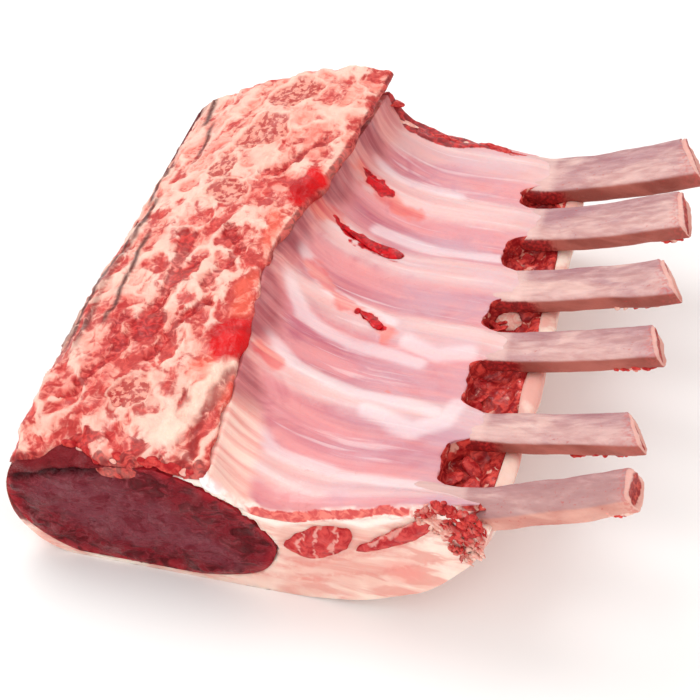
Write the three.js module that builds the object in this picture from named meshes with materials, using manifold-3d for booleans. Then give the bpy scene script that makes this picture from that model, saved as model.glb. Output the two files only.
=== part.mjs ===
// Raw rack of lamb: six frenched ribs in their loin, lying on the fat side with the hollow of the ribs upwards.
// Millimetres. X runs from the sawn backbone side to the bone tips, Y from the front cut to the back cut, Z is up.
// The meat is one lofted block. The eye muscle, the sawn chine, the rib wall and two thin muscles are cut out of it
// along the seams that the front cut shows, the ribs lie in grooves of the rib wall, and the rest is the fat cap.
import * as THREE from "three";
import { mergeVertices } from "three/addons/utils/BufferGeometryUtils.js";
import Module from "manifold-3d";

const wasm = await Module();
wasm.setup();

// Driving dimensions
const RACK_LENGTH = 157; // front cut to back cut
const SEAM_GAP = 0.3; // left between neighbouring pieces
const EYE_FAT = 1.7; // fat left under and beside the eye muscle
const FLAT_START_X = 14; // where the flat underside begins
const SIDE_CENTRE_Z = 19; // height of the widest point of the backbone side
const RIM_TOP_Z = 30; // fat rim under the bones
const FRENCH_X = 104; // where the meat is cut back from the bones
const RIB_RELIEF = 1.9; // how far the skin rises over a rib
const SKIN = 0.9; // skin and meat over a rib inside the rib wall
const WALL_LEDGE = 2; // how far the chine's side wall stands out past its ridge

// One rib a row, from the front cut to the back: y at the root, how far the head leans back, tip x, y and top z,
// width and thickness.
const RIBS = [
  { name: "rib_1", rootY: 6.8, headLean: 6, tipX: 146.6, tipY: 11.6, tipZ: 47, width: 10, thickness: 6.4 },
  { name: "rib_2", rootY: 35, headLean: 8, tipX: 145.2, tipY: 33, tipZ: 43.7, width: 11.2, thickness: 5 },
  { name: "rib_3", rootY: 65.4, headLean: 8.5, tipX: 146.6, tipY: 64.6, tipZ: 45.1, width: 12.5, thickness: 5.4 },
  { name: "rib_4", rootY: 91.4, headLean: 8, tipX: 147.1, tipY: 90.3, tipZ: 46.5, width: 14.4, thickness: 5.7 },
  { name: "rib_5", rootY: 120.4, headLean: 6, tipX: 147.8, tipY: 119.6, tipZ: 47.5, width: 16.2, thickness: 6 },
  { name: "rib_6", rootY: 146.4, headLean: 1, tipX: 148, tipY: 146, tipZ: 48.4, width: 18.4, thickness: 7.4 },
];

const COLOURS = {
  eye: [0x6e1f28, 0.45],
  fat: [0xf2d3bf, 0.5],
  wall: [0xdca0a4, 0.35],
  chine: [0xf0a898, 0.55],
  muscle: [0xb23438, 0.45],
  bone: [0xcba8a4, 0.45],
};

// Small tools

const clamp01 = (v) => Math.min(1, Math.max(0, v));
const ease = (from, to, v) => THREE.MathUtils.smoothstep(v, from, to);
const mix = THREE.MathUtils.lerp;

// A smooth curve through [y, value] pairs, read at any y.
function along(pairs) {
  const curve = new THREE.SplineCurve(pairs.map(([y, v]) => new THREE.Vector2(y, v)));
  const table = curve.getPoints(pairs.length * 12);
  return (y) => {
    const i = table.findIndex((p) => p.x >= y);
    if (i <= 0) return i === 0 ? table[0].y : table[table.length - 1].y;
    const [a, b] = [table[i - 1], table[i]];
    return mix(a.y, b.y, (y - a.x) / (b.x - a.x || 1));
  };
}

// Low, uneven bumps about one millimetre high, the same on every run.
function bumps(x, y, size, turn = 0) {
  const [u, v] = [x / size + turn, y / size - turn * 1.7];
  return (
    0.45 * Math.sin(2.1 * u + 1.3 * Math.sin(1.7 * v + turn)) +
    0.35 * Math.sin(2.9 * v + 1.1 * Math.sin(2.3 * u)) +
    0.2 * Math.sin(5.3 * u - 4.7 * v + turn)
  );
}

const range = (from, to, count, bend = 1) =>
  Array.from({ length: count }, (_, i) => mix(from, to, (i / (count - 1)) ** bend));

const stations = (from, to, step) => range(from, to, Math.round((to - from) / step) + 1);

// Solids

// A closed geometry through rings of points. Each ring runs counter-clockwise seen from before the first ring,
// and flat(point) gives the two coordinates in which its ends are triangulated.
function loft(rings, flat) {
  const n = rings[0].length;
  const index = [];
  for (let j = 0; j + 1 < rings.length; j++) {
    for (let i = 0; i < n; i++) {
      const [a, b] = [j * n + i, j * n + ((i + 1) % n)];
      index.push(a, a + n, b, b, a + n, b + n);
    }
  }
  const last = (rings.length - 1) * n;
  for (const [a, b, c] of THREE.ShapeUtils.triangulateShape(rings[0].map(flat), [])) index.push(a, b, c);
  for (const [a, b, c] of THREE.ShapeUtils.triangulateShape(rings.at(-1).map(flat), [])) {
    index.push(last + a, last + c, last + b);
  }
  const geometry = new THREE.BufferGeometry().setFromPoints(rings.flat());
  geometry.setIndex(index);
  return geometry;
}

function solidOf(geometry) {
  const merged = mergeVertices(geometry, 1e-4);
  return new wasm.Manifold(
    new wasm.Mesh({
      numProp: 3,
      vertProperties: new Float32Array(merged.attributes.position.array),
      triVerts: new Uint32Array(merged.index.array),
    }),
  );
}

// The largest body of a solid, without the scraps that a cut leaves.
function largest(solid) {
  return solid.decompose().sort((a, b) => b.volume() - a.volume())[0];
}

function geometryOf(solid) {
  const mesh = solid.getMesh();
  const geometry = new THREE.BufferGeometry();
  geometry.setAttribute("position", new THREE.BufferAttribute(new Float32Array(mesh.vertProperties), 3));
  geometry.setIndex(new THREE.BufferAttribute(new Uint32Array(mesh.triVerts), 1));
  geometry.computeVertexNormals();
  return geometry;
}

// A solid lofted along Y. outline(y) gives [x, z] pairs, counter-clockwise seen from the front.
function alongSpine(outline, ys) {
  const rings = ys.map((y) => outline(y).map(([x, z]) => new THREE.Vector3(x, y, z)));
  return solidOf(loft(rings, (p) => new THREE.Vector2(p.x, p.z)));
}

// The same outline grown by the seam gap along its own normals.
function grown(outline, by = SEAM_GAP) {
  return (y) => {
    const points = outline(y);
    const n = points.length;
    return points.map(([x, z], i) => {
      const [before, after] = [points[(i + n - 1) % n], points[(i + 1) % n]];
      const [dx, dz] = [after[0] - before[0], after[1] - before[1]];
      const length = Math.hypot(dx, dz) || 1;
      return [x + (dz / length) * by, z - (dx / length) * by];
    });
  };
}

// Sawn backbone side: the ridge between the chine and the hollow of the ribs
const ridgeX = along([[-6, 49.5], [0, 49], [32, 46.5], [60, 43.5], [80, 42.5], [112, 49.5], [136, 53.5], [163, 56]]);
const ridgeZ = along([[-6, 37], [0, 37.5], [32, 41], [66, 45], [90, 47.5], [112, 50.5], [136, 53.5], [163, 55.5]]);
const sideReach = (y) => mix(16.6, 19.6, ease(0, 60, y)); // how far the rounded side bulges
const shoulderX = 2;
const shoulderZ = (y) => mix(30.5, 36.5, ease(-2, 16, y));

function chineZ(x, y) {
  const share = clamp01((x - shoulderX) / (ridgeX(y) - shoulderX));
  const smooth = mix(shoulderZ(y), ridgeZ(y), Math.sin((share * Math.PI) / 2));
  return smooth + 1.1 * Math.sin(Math.PI * share) ** 0.5 * bumps(x, y, 11);
}

// Hollow of the ribs: it falls from the ridge to a valley, then rises gently to the bones.
const valleyZ = along([[-6, 28.5], [0, 28.5], [20, 31.5], [45, 33.5], [90, 33.5], [130, 32.8], [163, 32.5]]);
const frenchZ = along([[-6, 40], [0, 40], [3, 38.4], [8, 34], [14, 33], [34, 33], [90, 33.4], [163, 32.8]]);
const fallLength = along([[-6, 8], [0, 8], [70, 10], [110, 8.5], [140, 6.5], [163, 6]]);
const fallBend = along([[-6, 1.2], [0, 1.2], [80, 1.15], [120, 0.85], [163, 0.66]]);

function hollowZ(x, y) {
  const dx = Math.max(0, x - ridgeX(y));
  const rise = (frenchZ(y) - valleyZ(y)) * ease(58, FRENCH_X + 6, x);
  const floor = valleyZ(y) + rise;
  return floor + (ridgeZ(y) - floor) * Math.exp(-((dx / fallLength(y)) ** fallBend(y)));
}

// The rib leans back towards its head in the chine.
const ribY = (rib, x) => rib.rootY + rib.headLean * clamp01((78 - x) / 32) ** 1.2;

// The skin rises over each rib in a soft ridge.
function wallZ(x, y) {
  const start = ridgeX(y) + WALL_LEDGE;
  const lifts = RIBS.map((rib) => {
    const off = Math.abs(y - ribY(rib, x)) / (rib.width * 0.5 + 4);
    return off < 1 ? Math.cos((off * Math.PI) / 2) ** 2 : 0;
  });
  return hollowZ(x, y) + RIB_RELIEF * Math.max(...lifts) * ease(start, start + 12, x);
}

// Right-hand side: the fat cap curls up to a rim below the bones.
const flatEndX = (y) => mix(66, 84, y / RACK_LENGTH);
const rimX = along([[-6, 116], [0, 116.2], [20, 118.6], [60, 119.6], [110, 119.2], [150, 118], [163, 116.5]]);
const rimZ = (y) => RIM_TOP_Z + 3.5 * (1 - ease(0, 11, y)) + 0.5 * bumps(0, y, 9, 1);
const frontLump = 6; // shreds of meat left around the foot of the front bone
const frenchEdgeX = (y) => FRENCH_X + frontLump * (1 - ease(9, 20, y)) + 0.8 * bumps(3, y, 8, 2);

// The whole block of meat, without its bones
function blockOutline(y) {
  const [flatX, rim, top] = [flatEndX(y), rimX(y), rimZ(y)];
  const [edge, ridge, shoulder] = [frenchEdgeX(y), ridgeX(y), shoulderZ(y)];
  const points = range(FLAT_START_X, flatX, 3).map((x) => [x, 0]);
  for (const turn of range(0, Math.PI / 2, 9).slice(1)) {
    points.push([flatX + (rim - flatX) * Math.sin(turn), top * (1 - Math.cos(turn))]);
  }
  const lipZ = top + 1.2;
  points.push([rim - 1.1, lipZ], [rim - 3.4, lipZ]);
  points.push([mix(rim - 3.4, edge, 0.5), mix(lipZ, wallZ(edge, y), 0.42)]);
  for (const x of range(edge, ridge + WALL_LEDGE, 10, 0.8)) {
    points.push([x, wallZ(x, y)]);
  }
  points.push([ridge + 0.7, wallZ(ridge + 0.7, y)]);
  for (const x of range(ridge, shoulderX, 8)) {
    points.push([x, chineZ(x, y)]);
  }
  // The rounded side is an ellipse that starts at the shoulder and ends on the flat underside.
  const reach = sideReach(y);
  const startTurn = Math.acos((FLAT_START_X - shoulderX) / reach);
  const upper = (shoulder - SIDE_CENTRE_Z) / Math.sin(startTurn);
  for (const turn of range(startTurn, -Math.PI / 2, 10).slice(1, -1)) {
    const height = turn > 0 ? upper : SIDE_CENTRE_Z;
    points.push([FLAT_START_X - reach * Math.cos(turn), SIDE_CENTRE_Z + height * Math.sin(turn)]);
  }
  return points;
}

// Sawn chine: bone, gristle and fat along the backbone, a thin ledge at the front and thick at the back
const chineThickness = along([[-6, 2.6], [0, 2.8], [40, 5.5], [100, 9], [163, 11]]);
const chineFrontY = (x) => 1 + 1.6 * (0.5 + 0.5 * bumps(x, 2, 7, 4));
const chineUnderZ = (x, y) => {
  const share = clamp01((x + 6) / 36);
  const face = mix(shoulderZ(y), ridgeZ(y), Math.sin((clamp01((x - shoulderX) / 44) * Math.PI) / 2));
  return face - chineThickness(y) * mix(0.45, 1, share);
};

function chineRegion(gap) {
  return (y) => {
    const right = ridgeX(y) + WALL_LEDGE + gap;
    const xs = range(-9, right, 8);
    const under = xs.map((x) => [x, chineUnderZ(x, y) - gap]);
    return [...under, [right, 70], [-9, 70]];
  };
}

// Rib wall: the meat between and around the ribs, under one skin, from the chine to the frenched edge
const wallThickness = (y) => mix(4.6, 8.6, ease(1, 9, y));

// A point of the rib wall moved along the wall's own normal in the section; up is away from the meat.
function offWall(x, y, height, surface = wallZ) {
  const slope = (surface(x + 0.5, y) - surface(x - 0.5, y)) / 1;
  const length = Math.hypot(1, slope);
  return { x: x - (slope / length) * height, z: surface(x, y) + height / length, slope, length };
}

function wallRegion(gap) {
  return (y) => {
    const left = ridgeX(y) + WALL_LEDGE + SEAM_GAP - gap;
    const under = range(left + 9, rimX(y) + 3, 8).map((x) => {
      const p = offWall(x, y, -wallThickness(y) - gap, hollowZ);
      return [p.x, p.z];
    });
    const start = offWall(left + 9, y, -wallThickness(y) - gap, hollowZ);
    return [[left, start.z + 1], ...under, [rimX(y) + 3, 80], [left, 80]];
  };
}

// Eye muscle: a flat oval that leans to the right, and stands taller towards the back
const EYE_OUTLINE = [
  [-1.5, 18], [0.6, 27.5], [9, 34.5], [24, 36], [38, 34], [50, 29.6], [60.5, 22.4],
  [65.6, 15.5], [61.5, 6.4], [46, EYE_FAT], [30, EYE_FAT], [15, EYE_FAT], [3.2, 8.4],
];

function eyeOutline(y) {
  const share = y / RACK_LENGTH;
  const curve = new THREE.CatmullRomCurve3(
    EYE_OUTLINE.map(([x, z]) => {
      const widen = (sideReach(y) - 16) * clamp01((30 - x) / 30);
      const taller = 1 + 0.24 * share * clamp01((z - 12) / 20);
      return new THREE.Vector3(mix(x, 30 + (x - 30) * 0.9, x > 30 ? share : 0) - widen, 0, z * taller);
    }),
    true,
  );
  const points = curve.getSpacedPoints(30).slice(0, -1);
  return points.reverse().map((p) => [p.x, Math.max(EYE_FAT, p.z)]);
}

// Two thin muscles between the rib wall and the fat cap
function muscleOutline(knots, drift) {
  return (y) => {
    const curve = new THREE.CatmullRomCurve3(
      knots.map(([x, z]) => new THREE.Vector3(x + drift * ease(0, RACK_LENGTH, y), 0, z)),
      true,
    );
    return curve.getSpacedPoints(13).slice(0, -1).reverse().map((p) => [p.x, p.z]);
  };
}

const capMuscle = muscleOutline(
  [[67.8, 17], [72, 22.6], [78, 26], [83.2, 26], [84.2, 22.6], [80.6, 17.8], [74, 14.8]],
  -3,
);
const flankMuscle = muscleOutline(
  [[85.2, 20], [91, 27], [97, 33.2], [101.5, 37], [103, 33.6], [97.5, 27], [91, 22.2]],
  2,
);

// Ribs: flat oval bars that run under the skin of the rib wall and rise out of the meat to their sawn tips
const rootX = FRENCH_X + 2;

// The middle of a rib at x, and the direction across its flat side
function ribCentre(rib, x) {
  const share = clamp01((x - rootX) / (rib.tipX - rootX));
  const y = ribY(rib, x) + (rib.tipY - rib.rootY) * share ** 1.2;
  if (share === 0) {
    const start = ridgeX(y) + WALL_LEDGE;
    const crest = (u) => hollowZ(u, y) + RIB_RELIEF * ease(start, start + 12, u);
    const p = offWall(x, y, -SKIN - rib.thickness / 2, crest);
    return { x: p.x, y, z: p.z, nx: -p.slope / p.length, nz: 1 / p.length };
  }
  const rootZ = hollowZ(rootX, y) + RIB_RELIEF - SKIN - rib.thickness / 2;
  const rise = rib.tipZ - rib.thickness / 2 - rootZ;
  const slope = (rise * 1.25 * share ** 0.25) / (rib.tipX - rootX);
  const length = Math.hypot(1, slope);
  return { x, y, z: rootZ + rise * share ** 1.25, nx: -slope / length, nz: 1 / length };
}

function ribSolid(rib, gap) {
  const headX = ridgeX(rib.rootY + rib.headLean) + WALL_LEDGE + 3;
  const tip = rib.tipX;
  const xs = [...range(headX, rootX, 8, 1.3), ...range(rootX, tip, 8).slice(1)];
  if (gap) {
    xs.unshift(headX - gap);
    xs.push(tip + gap);
  }
  const sides = 12;
  const rings = xs.map((x) => {
    const c = ribCentre(rib, Math.max(headX, x));
    const out = clamp01((x - rootX) / (tip - rootX));
    const halfWidth = (rib.width / 2) * (1 + 0.14 * out ** 2) + gap;
    const halfHeight = rib.thickness / 2 + gap;
    return range(0, Math.PI * 2, sides + 1)
      .slice(0, -1)
      .map((turn) => {
        const fuller = (v) => Math.sign(v) * Math.abs(v) ** 0.55; // fuller than an ellipse
        const across = -fuller(Math.cos(turn)) * halfWidth;
        const up = fuller(Math.sin(turn)) * halfHeight;
        return new THREE.Vector3(c.x + Math.min(0, x - headX) + c.nx * up, c.y + across, c.z + c.nz * up);
      });
  });
  return solidOf(loft(rings, (p) => new THREE.Vector2(-p.y, p.z)));
}

// Cutting the block along its seams

// The loft has a section on the crest and both flanks of every rib.
const blockYs = [0, 2.5, ...RIBS.flatMap((rib) => [-7, -3.5, 0, 3.5, 7].map((d) => rib.rootY + d))];
for (const [i, rib] of RIBS.entries()) {
  if (i > 0) blockYs.push((RIBS[i - 1].rootY + rib.rootY) / 2);
}
blockYs.push(RACK_LENGTH);
const block = alongSpine(blockOutline, blockYs.filter((y) => y >= 0).sort((a, b) => a - b));
const ribCuts = RIBS.map((rib) => ribSolid(rib, SEAM_GAP)).reduce((a, b) => a.add(b));
const regionYs = stations(-6, RACK_LENGTH + 6, 13);

// The chine's front edge is uneven: wedges bite it back from the cut face.
const frontBite = solidOf(
  loft(
    range(-10, 62, 19).map((x) => {
      const y = chineFrontY(x);
      return [[x, -5, 28], [x, -5, 60], [x, y, 60], [x, y, 28]].map((p) => new THREE.Vector3(...p));
    }),
    (p) => new THREE.Vector2(-p.y, p.z),
  ),
);

const chineBlock = block.intersect(alongSpine(chineRegion(0), regionYs));
const wallBlock = block.intersect(alongSpine(wallRegion(0), regionYs));
const chineCut = alongSpine(chineRegion(SEAM_GAP), regionYs);
const wallCut = alongSpine(wallRegion(SEAM_GAP), regionYs);
const seamYs = stations(-2, RACK_LENGTH + 2, 20);
const wide = (outline) => alongSpine(grown(outline), seamYs);
const whole = (outline) => block.intersect(alongSpine(outline, seamYs));

const solids = {
  chine: largest(chineBlock.subtract(frontBite).subtract(ribCuts)),
  rib_wall: largest(wallBlock.subtract(ribCuts)),
  eye_muscle: largest(whole(eyeOutline).subtract(chineCut).subtract(wallCut).subtract(ribCuts)),
  cap_muscle: largest(whole(capMuscle).subtract(wallCut).subtract(ribCuts)),
  flank_muscle: largest(whole(flankMuscle).subtract(wallCut).subtract(ribCuts)),
};
solids.fat_cap = largest(
  block
    .subtract(chineCut)
    .subtract(wallCut)
    .subtract(wide(eyeOutline))
    .subtract(wide(capMuscle))
    .subtract(wide(flankMuscle))
    .subtract(ribCuts),
);

// The rack

function piece(name, geometry, [colour, roughness]) {
  const material = new THREE.MeshStandardMaterial({ color: colour, roughness, metalness: 0 });
  const mesh = new THREE.Mesh(geometry, material);
  mesh.name = name;
  return mesh;
}

const rack = new THREE.Group();
rack.add(piece("eye_muscle", geometryOf(solids.eye_muscle), COLOURS.eye));
rack.add(piece("fat_cap", geometryOf(solids.fat_cap), COLOURS.fat));
rack.add(piece("rib_wall", geometryOf(solids.rib_wall), COLOURS.wall));
rack.add(piece("chine", geometryOf(solids.chine), COLOURS.chine));
rack.add(piece("cap_muscle", geometryOf(solids.cap_muscle), COLOURS.muscle));
rack.add(piece("flank_muscle", geometryOf(solids.flank_muscle), COLOURS.muscle));
for (const rib of RIBS) {
  rack.add(piece(rib.name, geometryOf(ribSolid(rib, 0)), COLOURS.bone));
}

// The origin is under the middle of the rack, on the surface it lies on.
const box = new THREE.Box3().setFromObject(rack);
const middle = box.getCenter(new THREE.Vector3());
rack.position.set(-middle.x, -middle.y, -box.min.z);

export default rack;
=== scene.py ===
import math

import bpy
import numpy as np
from mathutils import Matrix, Vector, geometry


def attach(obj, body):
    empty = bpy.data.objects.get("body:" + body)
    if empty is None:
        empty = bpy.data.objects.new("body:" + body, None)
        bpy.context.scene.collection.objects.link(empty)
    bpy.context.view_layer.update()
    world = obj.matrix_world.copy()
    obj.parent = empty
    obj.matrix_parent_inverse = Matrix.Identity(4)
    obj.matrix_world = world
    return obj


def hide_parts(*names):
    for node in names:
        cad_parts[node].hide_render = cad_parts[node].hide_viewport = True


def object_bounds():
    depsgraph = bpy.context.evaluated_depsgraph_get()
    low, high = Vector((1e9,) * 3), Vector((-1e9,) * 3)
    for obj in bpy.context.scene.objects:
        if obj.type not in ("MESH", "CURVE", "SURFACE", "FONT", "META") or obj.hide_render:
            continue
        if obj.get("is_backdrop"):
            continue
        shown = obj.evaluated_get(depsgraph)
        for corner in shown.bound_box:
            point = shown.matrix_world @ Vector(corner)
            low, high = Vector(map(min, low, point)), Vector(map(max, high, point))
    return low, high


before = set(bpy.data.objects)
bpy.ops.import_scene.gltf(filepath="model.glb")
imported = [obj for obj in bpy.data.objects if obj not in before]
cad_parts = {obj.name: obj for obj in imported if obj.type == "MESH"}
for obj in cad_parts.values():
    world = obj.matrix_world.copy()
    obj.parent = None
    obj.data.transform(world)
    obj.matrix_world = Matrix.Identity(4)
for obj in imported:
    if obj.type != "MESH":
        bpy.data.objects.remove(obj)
cad_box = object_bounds()


# Sawn chine
# The backbone side of the rack is sawn off, so it shows fat, gristle, red meat and the sponge of the
# vertebrae. It is one slab with a ragged lip over the eye in front and a rough edge that overhangs the
# hollow of the ribs.

LENGTH = (cad_box[1].y - cad_box[0].y) * 1000  # front cut to back cut
SIDE_BULGE = 5.53  # how far the rounded side stands out past x = 0
CORNER = Vector((cad_box[0].x * 1000 + SIDE_BULGE, cad_box[0].y * 1000, 0))  # where x and y start

SHOULDER_X = 2.0
FLAT_START_X = 14.0
SIDE_CENTRE_Z = 19.0
WALL_LEDGE = 2.0


def smooth(start, end, value):
    """0 before start, 1 after end, eased between."""
    share = np.clip((value - start) / (end - start), 0, 1)
    return share * share * (3 - 2 * share)


def along(*knots):
    """A smooth curve through (y, value) knots, read at any y."""
    knots = np.array(knots, float)
    last = len(knots) - 1
    t = np.linspace(0, last, last * 12 + 1)
    i = np.minimum(t.astype(int), last - 1)
    w = (t - i)[:, None]
    before, here = knots[np.maximum(i - 1, 0)], knots[i]
    there, after = knots[i + 1], knots[np.minimum(i + 2, last)]
    leave, arrive = (there - before) / 2, (after - here) / 2
    table = (
        (2 * here - 2 * there + leave + arrive) * w**3
        + (3 * there - 3 * here - 2 * leave - arrive) * w**2
        + leave * w
        + here
    )
    return lambda y: np.interp(y, table[:, 0], table[:, 1])


def noise(x, y, z=0.0, seed=0):
    """Smooth noise between -1 and 1, with about one bump for each unit."""
    x, y, z = np.broadcast_arrays(np.asarray(x, float), y, z)
    cell = [np.floor(v).astype(np.int64) for v in (x, y, z)]
    share = [v - c for v, c in zip((x, y, z), cell)]
    share = [s * s * s * (s * (s * 6 - 15) + 10) for s in share]
    total = np.zeros(x.shape)
    for corner in range(8):
        step = [corner & 1, corner >> 1 & 1, corner >> 2]
        mixed = (cell[0] + step[0]) * 374761393 + (cell[1] + step[1]) * 668265263
        mixed = (mixed + (cell[2] + step[2]) * 974634777 + seed * 1274126177) & 0xFFFFFFFF
        mixed = ((mixed ^ (mixed >> 13)) * 1103515245) & 0xFFFFFFFF
        mixed = mixed ^ (mixed >> 16)
        weight = np.ones(x.shape)
        for s, there in zip(share, step):
            weight = weight * (s if there else 1 - s)
        total += weight * (mixed / 2147483648.0 - 1)
    return total


def crumple(x, y, z=0.0, seed=0, octaves=3):
    """Noise with finer and finer bumps on it."""
    return sum(noise(x * 2**i, y * 2**i, np.asarray(z) * 2**i, seed + i) / 2**i for i in range(octaves))


def spot(x, y, centre, size, turn=0.0, soft=0.45):
    """1 inside an oval and 0 outside, with a soft border."""
    dx, dy = x - centre[0], y - centre[1]
    c, s = math.cos(math.radians(turn)), math.sin(math.radians(turn))
    reach = np.hypot((dx * c + dy * s) / size[0], (dy * c - dx * s) / size[1])
    return 1 - smooth(1 - soft, 1 + soft, reach)


def streak(x, y, path, width, soft=0.5):
    """1 near a path of points, fading over its width."""
    nearest = np.full(np.shape(x), 1e9)
    for (ax, ay), (bx, by) in zip(path, path[1:]):
        run = (bx - ax) ** 2 + (by - ay) ** 2
        share = np.clip(((x - ax) * (bx - ax) + (y - ay) * (by - ay)) / run, 0, 1)
        nearest = np.minimum(nearest, np.hypot(x - ax - share * (bx - ax), y - ay - share * (by - ay)))
    return 1 - smooth(width * (1 - soft), width * (1 + soft), nearest)


def normals_of(points):
    """Outward normals of a grid of points: rows along Y, columns counter-clockwise seen from the front."""
    n = np.cross(np.gradient(points, axis=0), np.gradient(points, axis=1))
    return n / np.maximum(np.linalg.norm(n, axis=2, keepdims=True), 1e-9)


def within(outline, points):
    """Which points lie inside a closed outline."""
    a, b = outline, np.roll(outline, -1, 0)
    crossing = (a[None, :, 1] > points[:, None, 1]) != (b[None, :, 1] > points[:, None, 1])
    rise = np.where(np.abs(b[:, 1] - a[:, 1]) < 1e-9, 1e-9, b[:, 1] - a[:, 1])
    at = a[:, 0] + (points[:, None, 1] - a[:, 1]) / rise * (b[:, 0] - a[:, 0])
    return (crossing & (points[:, None, 0] < at)).sum(1) % 2 == 1


def cut_face(ring, step, relief, front):
    """Triangles that close a ring at a cut, with points inside it, moved by relief(x, z, rim)."""
    flat = ring[:, [0, 2]]
    count = len(flat)
    low, high = flat.min(0), flat.max(0)
    xs, zs = np.meshgrid(np.arange(low[0], high[0], step), np.arange(low[1], high[1], step * 0.866))
    xs[1::2] += step / 2
    inner = np.stack([xs.ravel(), zs.ravel()], 1)
    inner = inner[within(flat, inner)]
    apart = np.linalg.norm(inner[:, None] - flat[None], axis=2)
    keep = apart.min(1) > step * 0.55
    inner, apart = inner[keep], apart[keep]
    rim = apart.min(1)
    level = (ring[:, 1] / apart**4).sum(1) / (1 / apart**4).sum(1)
    loop = [Vector(p) for p in flat] + [Vector(p) for p in inner]
    made = geometry.delaunay_2d_cdt(loop, [], [list(range(count))], 1, 1e-4)
    if len(made[0]) != len(loop):
        raise ValueError("the outline of a cut crosses itself")
    outward = -1.0 if front else 1.0
    y = level + outward * relief(inner[:, 0], inner[:, 1], rim)
    points = np.stack([inner[:, 0], y, inner[:, 1]], 1)
    faces = [f if front else f[::-1] for f in made[2]]
    return points, faces


def slab(name, points, material, relief_front=None, relief_back=None, face_step=1.2, masks=None):
    """A closed piece from rings of points along Y, with a meshed cut face at both ends.

    masks(x, y, z) gives the paint of every point by name."""
    rows, columns = points.shape[:2]
    here = np.arange(rows * columns).reshape(rows, columns)
    there = np.roll(here, -1, 1)
    faces = np.stack([here[:-1], here[1:], there[1:], there[:-1]], 2).reshape(-1, 4).tolist()
    flat_relief = lambda x, z, rim: 0 * x
    every = [points.reshape(-1, 3)]
    count = rows * columns
    ends = ((points[0], relief_front, True, 0), (points[-1], relief_back, False, (rows - 1) * columns))
    for ring, relief, front, start in ends:
        inner, triangles = cut_face(ring, face_step, relief or flat_relief, front)
        for triangle in triangles:
            faces.append([start + i if i < columns else count + i - columns for i in triangle])
        every.append(inner)
        count += len(inner)
    every = np.concatenate(every)
    paint = masks(*every.T) if masks else {}
    return piece_of(name, every, faces, material, paint)


def piece_of(name, points, faces, material, paint):
    """A smooth mesh object from points in millimetres, with one number a point for each name in paint."""
    mesh = bpy.data.meshes.new(name)
    place = (points + np.array(CORNER)) / 1000
    mesh.from_pydata(place.tolist(), [], faces)
    mesh.polygons.foreach_set("use_smooth", [True] * len(mesh.polygons))
    mesh.set_sharp_from_angle(angle=math.radians(75))
    for key, values in paint.items():
        if np.ndim(values) == 2:
            layer = mesh.attributes.new(key, "FLOAT_VECTOR", "POINT")
            layer.data.foreach_set("vector", np.asarray(values, float).ravel())
        else:
            layer = mesh.attributes.new(key, "FLOAT", "POINT")
            layer.data.foreach_set("value", np.asarray(values, float))
    mesh.materials.append(material)
    made = bpy.data.objects.new(name, mesh)
    bpy.context.scene.collection.objects.link(made)
    return made


class Wire:
    """A socket in a node tree. Sums on it add Math nodes, and node() adds any other node beside it."""

    def __init__(self, tree, socket=None):
        self.tree = tree
        self.socket = socket

    def node(self, kind, settings=None, inputs=None, output=0):
        made = self.tree.nodes.new(kind)
        for name, value in (settings or {}).items():
            setattr(made, name, value)
        for key, value in (inputs or {}).items():
            if isinstance(value, Wire):
                self.tree.links.new(value.socket, made.inputs[key])
            else:
                made.inputs[key].default_value = value
        return Wire(self.tree, made.outputs[output])

    def sum(self, operation, *values):
        return self.node("ShaderNodeMath", {"operation": operation}, dict(enumerate(values)))

    def __add__(self, other):
        return self.sum("ADD", self, other)

    def __sub__(self, other):
        return self.sum("SUBTRACT", self, other)

    def __rsub__(self, other):
        return self.sum("SUBTRACT", other, self)

    def __mul__(self, other):
        return self.sum("MULTIPLY", self, other)

    __radd__ = __add__
    __rmul__ = __mul__

    def fade(self, start, end):
        """0 at start and 1 at end, eased between; start may be the larger."""
        limits = {"Value": self, "From Min": start, "From Max": end}
        return self.node("ShaderNodeMapRange", {"interpolation_type": "SMOOTHSTEP"}, limits)

    def over(self, colour, other):
        """colour where this is 0, other where it is 1."""
        return self.node("ShaderNodeMix", {"data_type": "RGBA"}, {0: self, 6: colour, 7: other}, output=2)

    def blend(self, low, high, first, second):
        """One colour up to low, another from high on, and both mixed in between."""
        return self.fade(low, high).over(tint(*first), tint(*second))


def tint(red, green, blue):
    """A colour as the eye sees it, from 0 to 255, as the light values that a shader wants."""
    parts = [v / 255 for v in (red, green, blue)]
    return (*(v / 12.92 if v <= 0.04045 else ((v + 0.055) / 1.055) ** 2.4 for v in parts), 1.0)


def flesh(name, wetness, depth_of_light, subsurface):
    """A moist material. Gives it back with its shader and a Wire to start from."""
    material = bpy.data.materials.new(name)
    material.use_nodes = True
    shader = material.node_tree.nodes["Principled BSDF"]
    shader.inputs["IOR"].default_value = 1.42
    shader.inputs["Subsurface Weight"].default_value = subsurface
    shader.inputs["Subsurface Radius"].default_value = (1.0, 0.35, 0.25)
    shader.inputs["Subsurface Scale"].default_value = depth_of_light / 1000
    shader.inputs["Coat Weight"].default_value = wetness
    shader.inputs["Coat Roughness"].default_value = 0.16
    shader.inputs["Specular IOR Level"].default_value = 0.22
    return material, shader, Wire(material.node_tree)


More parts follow.
